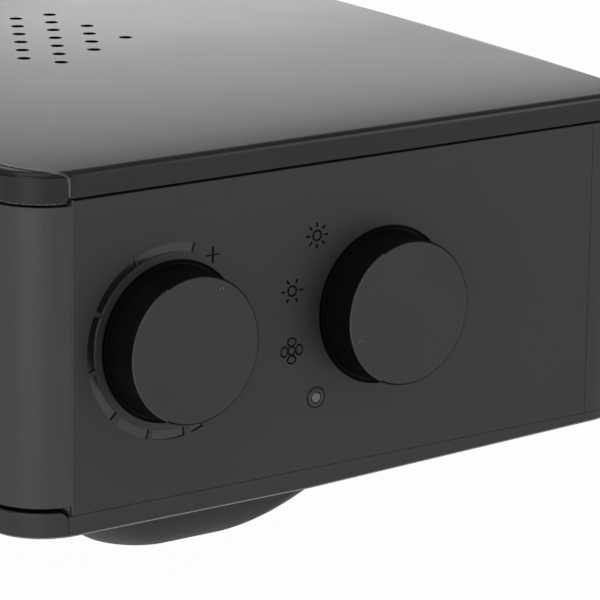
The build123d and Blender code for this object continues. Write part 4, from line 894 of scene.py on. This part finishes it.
# %% Cutters for the scale's bars
def scale_cutter(start, end, finish):
    """Bar of the scale: a small upright face spun about the knob's axis."""
    middle = round_knob(THERMOSTAT_Y, (SCALE_INNER_R + SCALE_OUTER_R) / 2, start)
    bpy.ops.mesh.primitive_plane_add(size=1.0, location=middle, rotation=(radians(start), 0.0, 0.0))
    cutter = bpy.context.object
    cutter.scale = (2 * SCALE_DEPTH * MM, (SCALE_OUTER_R - SCALE_INNER_R) * MM, 1.0)
    settle(cutter)
    bpy.ops.object.mode_set(mode="EDIT")
    bpy.ops.mesh.select_all(action="SELECT")
    axis_point = (PANEL_X * MM, THERMOSTAT_Y * MM, KNOB_Z * MM)
    steps = max(4, round((end - start) / SCALE_STEP))
    sweep = -radians(end - start)
    bpy.ops.mesh.spin(steps=steps, angle=sweep, center=axis_point, axis=(1.0, 0.0, 0.0))
    bpy.ops.mesh.select_all(action="SELECT")
    bpy.ops.mesh.normals_make_consistent(inside=False)
    bpy.ops.object.mode_set(mode="OBJECT")
    cutter.data.materials.append(finish)
    cutter.data.materials.append(bright_painted_highlight)
    axis = Vector(axis_point)
    # Painted highlight: each bar's inner wall gets the bright, lighter finish.
    for face in cutter.data.polygons:
        if (face.center - axis).yz.length < (SCALE_INNER_R + 0.1) * MM:
            face.material_index = 1
    return cutter


bars = [scale_cutter(first, last, scale_polished) for first, last in SCALE_BARS]
print("open edges of the cutters:", [open_edges(b) for b in bars])


# %% Cutters for the plus, the suns and the fan
def bar_cutter(middle, long_mm, wide_mm, angle):
    """Straight groove of the panel's signs, as a box half sunk in the panel."""
    bpy.ops.mesh.primitive_cube_add(size=1.0, location=middle, rotation=(radians(angle), 0.0, 0.0))
    cutter = bpy.context.object
    cutter.scale = (2 * SIGN_DEPTH * MM, long_mm * MM, wide_mm * MM)
    settle(cutter)
    cutter.data.materials.append(sign_groove_painted_shade)
    return cutter


def ring_cutter(middle, radius_mm, stroke_mm=STROKE, stretch=(1.0, 1.0), angle=0.0):
    """Round or oval groove: a thin ring half sunk in the panel."""
    bpy.ops.mesh.primitive_torus_add(
        location=middle,
        rotation=(radians(angle), 0.0, 0.0),
        major_segments=40,
        minor_segments=8,
        major_radius=radius_mm * MM,
        minor_radius=stroke_mm / 2 * MM,
    )
    cutter = bpy.context.object
    bpy.ops.object.mode_set(mode="EDIT")
    bpy.ops.mesh.select_all(action="SELECT")
    bpy.ops.transform.rotate(value=pi / 2, orient_axis="Y", orient_type="LOCAL", center_override=middle)
    bpy.ops.object.mode_set(mode="OBJECT")
    cutter.scale = (1.3, stretch[0], stretch[1])
    settle(cutter)
    cutter.data.materials.append(sign_groove_painted_shade)
    return cutter


def offset(middle, out_mm, angle):
    """Point on the panel at a distance from another, along an angle."""
    return middle + Vector((0.0, out_mm * cos(radians(angle)), out_mm * sin(radians(angle)))) * MM


def sun_cutters(middle, rays, inner_mm=RAY_FROM, outer_mm=RAY_TO):
    """Ring with straight rays."""
    cutters = [ring_cutter(middle, SUN_R)]
    for ray_number in range(rays):
        angle = 360.0 * ray_number / rays
        place = offset(middle, (inner_mm + outer_mm) / 2, angle)
        cutters.append(bar_cutter(place, outer_mm - inner_mm, STROKE, angle))
    return cutters


plus_place = round_knob(THERMOSTAT_Y, PLUS_R, PLUS_ANGLE)
signs = [bar_cutter(plus_place, PLUS_ARM, THIN_STROKE, 0.0)]
signs.append(bar_cutter(plus_place, PLUS_ARM, STROKE, 90.0))
signs += sun_cutters(round_knob(MODE_Y, ICON_R, BIG_SUN_ANGLE), 8)
signs += sun_cutters(round_knob(MODE_Y, ICON_R, SMALL_SUN_ANGLE), 6)
fan_place = round_knob(MODE_Y, ICON_R, FAN_ANGLE)
for petal_angle in (0.0, 90.0, 180.0, 270.0):
    petal_place = offset(fan_place, PETAL_OUT, petal_angle)
    signs.append(ring_cutter(petal_place, PETAL_R, PETAL_STROKE, PETAL_STRETCH, petal_angle))
signs.append(ring_cutter(fan_place, FAN_HUB_R, FAN_HUB_STROKE))
lamp_place = round_knob(MODE_Y, ICON_R, LAMP_ANGLE)
signs.append(ring_cutter(lamp_place, LAMP_GROOVE_R, LAMP_GROOVE_STROKE))
print("sign cutters:", len(signs), "open edges:", sum(open_edges(c) for c in signs))

# %% The panel with its scale and signs
knob_panel = carry_over("control_panel", "knob_panel", panel_black)
soften(knob_panel, 0.06)
press_in(knob_panel, join(bars, "scale_bars"))
press_in(knob_panel, join(signs, "sign_strokes"))
# Painted shade: the floor and wall of the recess round each knob get the near-black finish.
knob_panel.data.materials.append(painted_shade_black)
for face in knob_panel.data.polygons:
    for axis_y in (THERMOSTAT_Y, MODE_Y):
        from_axis = (face.center - Vector((face.center.x, axis_y * MM, KNOB_Z * MM))).length
        if from_axis < (RECESS_R + 0.02) * MM and face.center.x < (PANEL_X - 0.05) * MM:
            face.material_index = len(knob_panel.data.materials) - 1
shade(knob_panel)
stand_for(knob_panel, "heater_body", "panel", "control_panel")

# %% [markdown]
# ## The ring round the lamp
# A small raised ring frames the light guide, so that a finger finds it and the plastic's edge looks
# finished. It is a turned shape, so a short profile could be spun. A thin ring sunk half way is the same
# shape with fewer steps: its lower half is hidden in the panel.

# %% Lamp ring
bpy.ops.mesh.primitive_torus_add(
    location=lamp_place,
    major_segments=64,
    minor_segments=12,
    major_radius=LAMP_RING_R * MM,
    minor_radius=LAMP_RING_HALF * MM,
)
lamp_ring = bpy.context.object
lamp_ring.name = "lamp_ring"
bpy.ops.object.mode_set(mode="EDIT")
bpy.ops.mesh.select_all(action="SELECT")
bpy.ops.transform.rotate(value=pi / 2, orient_axis="Y", center_override=lamp_place)
bpy.ops.transform.resize(value=(0.7, 1.0, 1.0), center_override=lamp_place)
bpy.ops.object.mode_set(mode="OBJECT")
settle(lamp_ring)
lamp_ring.data.materials.append(outlet_black)
shade(lamp_ring, 60.0)
stand_for(lamp_ring, "heater_body", "panel")

# %% [markdown]
# ## The knobs
# Each knob is a hollow moulding: a thin flange at its foot, a slightly tapered side with 180 fine ribs for
# the fingers, a softly rounded edge and a flat face with one small dimple that points. A boolean for every
# rib would be slow and rough. Here the side has 360 columns, and every second one is drawn in a little,
# which gives the ribs in one step. The back is hollowed with the same insets and extrusions, down to the
# hub that grips the spindle.

# %% Sizes of a knob, in millimetres
KNOB_BASE_X = 159.4
KNOB_FACE_X = 171.2
FLANGE_R = 21.0
FLANGE_H = 0.5
SIDE_R = 20.75
FACE_R = 20.0
EDGE_R = 0.4
# steps of the rounded edge, in shares of EDGE_R: along the axis and inwards
EDGE_STEPS = ((0.5, 0.13), (0.87, 0.5), (1.0, 1.0))
RIM_HIGHLIGHT_FROM = 0.45  # beyond this share of FACE_R towards the outlet the rim has a painted highlight, and the rest painted shade
RIB_SHARE = 0.989
CAVITY_R = 18.0
CAVITY_X = 169.2
HUB_R = 5.5
HUB_X = 163.4
BORE_R = 3.02
BORE_END_X = 169.1
COLUMNS = 360
DIMPLE_R = 0.95
DIMPLE_DEPTH = 0.45
DIMPLE_FROM_CENTRE = 17.4


# %% One knob
def select_end(piece, towards):
    """Selects the face that looks most along +X (1) or -X (-1) among the selectable ones."""
    mesh = bmesh.from_edit_mesh(piece.data)
    mesh.normal_update()
    caps = [f for f in mesh.faces if f.normal.x * towards > 0.99 and len(f.verts) > 100]
    for face in mesh.faces:
        face.select_set(False)
    caps[0].select_set(True)
    bmesh.update_edit_mesh(piece.data)


def step(piece, centre, dx_mm, from_r, to_r):
    """Extrudes the selected end along X and sets its new radius."""
    bpy.ops.mesh.extrude_region_move(TRANSFORM_OT_translate={"value": (dx_mm * MM, 0.0, 0.0)})
    share = to_r / from_r
    bpy.ops.transform.resize(value=(1.0, share, share), center_override=centre)


def model_knob(name, axis_y, dimple_angle):
    """Ribbed hollow knob about an axis along X."""
    centre = Vector((KNOB_BASE_X, axis_y, KNOB_Z)) * MM
    bpy.ops.mesh.primitive_cylinder_add(
        vertices=COLUMNS,
        radius=FLANGE_R * MM,
        depth=FLANGE_H * MM,
        location=centre + Vector((FLANGE_H / 2 * MM, 0.0, 0.0)),
        rotation=(0.0, pi / 2, 0.0),
    )
    knob = bpy.context.object
    knob.name = name
    settle(knob)
    bpy.ops.object.mode_set(mode="EDIT")
    bpy.ops.mesh.select_mode(type="FACE")
    select_end(knob, 1)
    bpy.ops.mesh.inset(thickness=(FLANGE_R - SIDE_R) * MM)
    side_h = KNOB_FACE_X - KNOB_BASE_X - FLANGE_H - EDGE_R
    step(knob, centre, 0.01, SIDE_R, SIDE_R)
    step(knob, centre, side_h - 0.01, SIDE_R, FACE_R)
    along, radius = 0.0, FACE_R
    for next_along, inwards in EDGE_STEPS:
        next_radius = FACE_R - EDGE_R * inwards
        step(knob, centre, EDGE_R * (next_along - along), radius, next_radius)
        along, radius = next_along, next_radius
    select_end(knob, -1)
    bpy.ops.mesh.inset(thickness=(FLANGE_R - CAVITY_R) * MM)
    step(knob, centre, CAVITY_X - KNOB_BASE_X, CAVITY_R, CAVITY_R)
    bpy.ops.mesh.inset(thickness=(CAVITY_R - HUB_R) * MM)
    step(knob, centre, HUB_X - CAVITY_X, HUB_R, HUB_R)
    bpy.ops.mesh.inset(thickness=(HUB_R - BORE_R) * MM)
    step(knob, centre, BORE_END_X - HUB_X, BORE_R, BORE_R)
    draw_in_ribs(knob, centre)
    bpy.ops.object.mode_set(mode="OBJECT")
    settle(knob)
    # Painted shade on the ribbed side; the face keeps a lighter black.
    knob.data.materials.append(knob_side_painted_shade)
    knob.data.materials.append(knob_face)
    knob.data.materials.append(knob_rim_painted_highlight)
    knob.data.materials.append(painted_shade_black)
    # Painted light on the rim: its side towards the outlet gets the painted highlight, the rest near-black
    # painted shade.
    for face in knob.data.polygons:
        if face.center.x > (KNOB_FACE_X - 0.01) * MM:
            face.material_index = 1
        elif face.center.x > (KNOB_FACE_X - EDGE_R) * MM:
            forwards = (centre.y - face.center.y) / (FACE_R * MM)
            face.material_index = 2 if forwards > RIM_HIGHLIGHT_FROM else 3
    press_dimple(knob, axis_y, dimple_angle)
    return knob


def draw_in_ribs(knob, centre):
    """Draws every second column of the side towards the axis."""
    bpy.ops.mesh.select_mode(type="VERT")
    bpy.ops.mesh.select_all(action="DESELECT")
    mesh = bmesh.from_edit_mesh(knob.data)
    chosen = 0
    for vertex in mesh.verts:
        from_axis = Vector((0.0, vertex.co.y - centre.y, vertex.co.z - centre.z)).length
        height = vertex.co.x - centre.x
        if from_axis > (FACE_R - 0.5) * MM and (FLANGE_H + 0.005) * MM < height:
            turn_angle = (vertex.co - centre).yz.angle_signed(Vector((1.0, 0.0)))
            column = round(turn_angle * COLUMNS / (2 * pi))
            if column % 2 == 0:
                vertex.select_set(True)
                chosen += 1
    mesh.select_flush(True)
    bmesh.update_edit_mesh(knob.data)
    bpy.ops.transform.resize(value=(1.0, RIB_SHARE, RIB_SHARE), center_override=centre)
    bpy.ops.mesh.select_mode(type="FACE")
    print(knob.name, "rib vertices:", chosen)


def press_dimple(knob, axis_y, angle):
    """Presses the pointing dimple into the face with a ball."""
    ball_r = (DIMPLE_R**2 + DIMPLE_DEPTH**2) / (2 * DIMPLE_DEPTH)
    place = round_knob(axis_y, DIMPLE_FROM_CENTRE, angle)
    place.x = (KNOB_FACE_X + ball_r - DIMPLE_DEPTH) * MM
    ball_size = ball_r * MM
    bpy.ops.mesh.primitive_uv_sphere_add(segments=32, ring_count=24, radius=ball_size, location=place)
    ball = bpy.context.object
    settle(ball)
    # The dimple's faces get the lighter finish: a painted glint.
    ball.data.materials.append(dimple_painted_glint)
    press_in(knob, ball)


for name, node, body, axis_y, angle in (
    ("temperature_knob", "thermostat_knob", "thermostat_dial", THERMOSTAT_Y, 64.0),
    ("fan_and_heat_knob", "mode_knob", "mode_dial", MODE_Y, 198.5),
):
    knob = model_knob(name, axis_y, angle)
    shade(knob, 40.0)
    stand_for(knob, body, "knob", node)
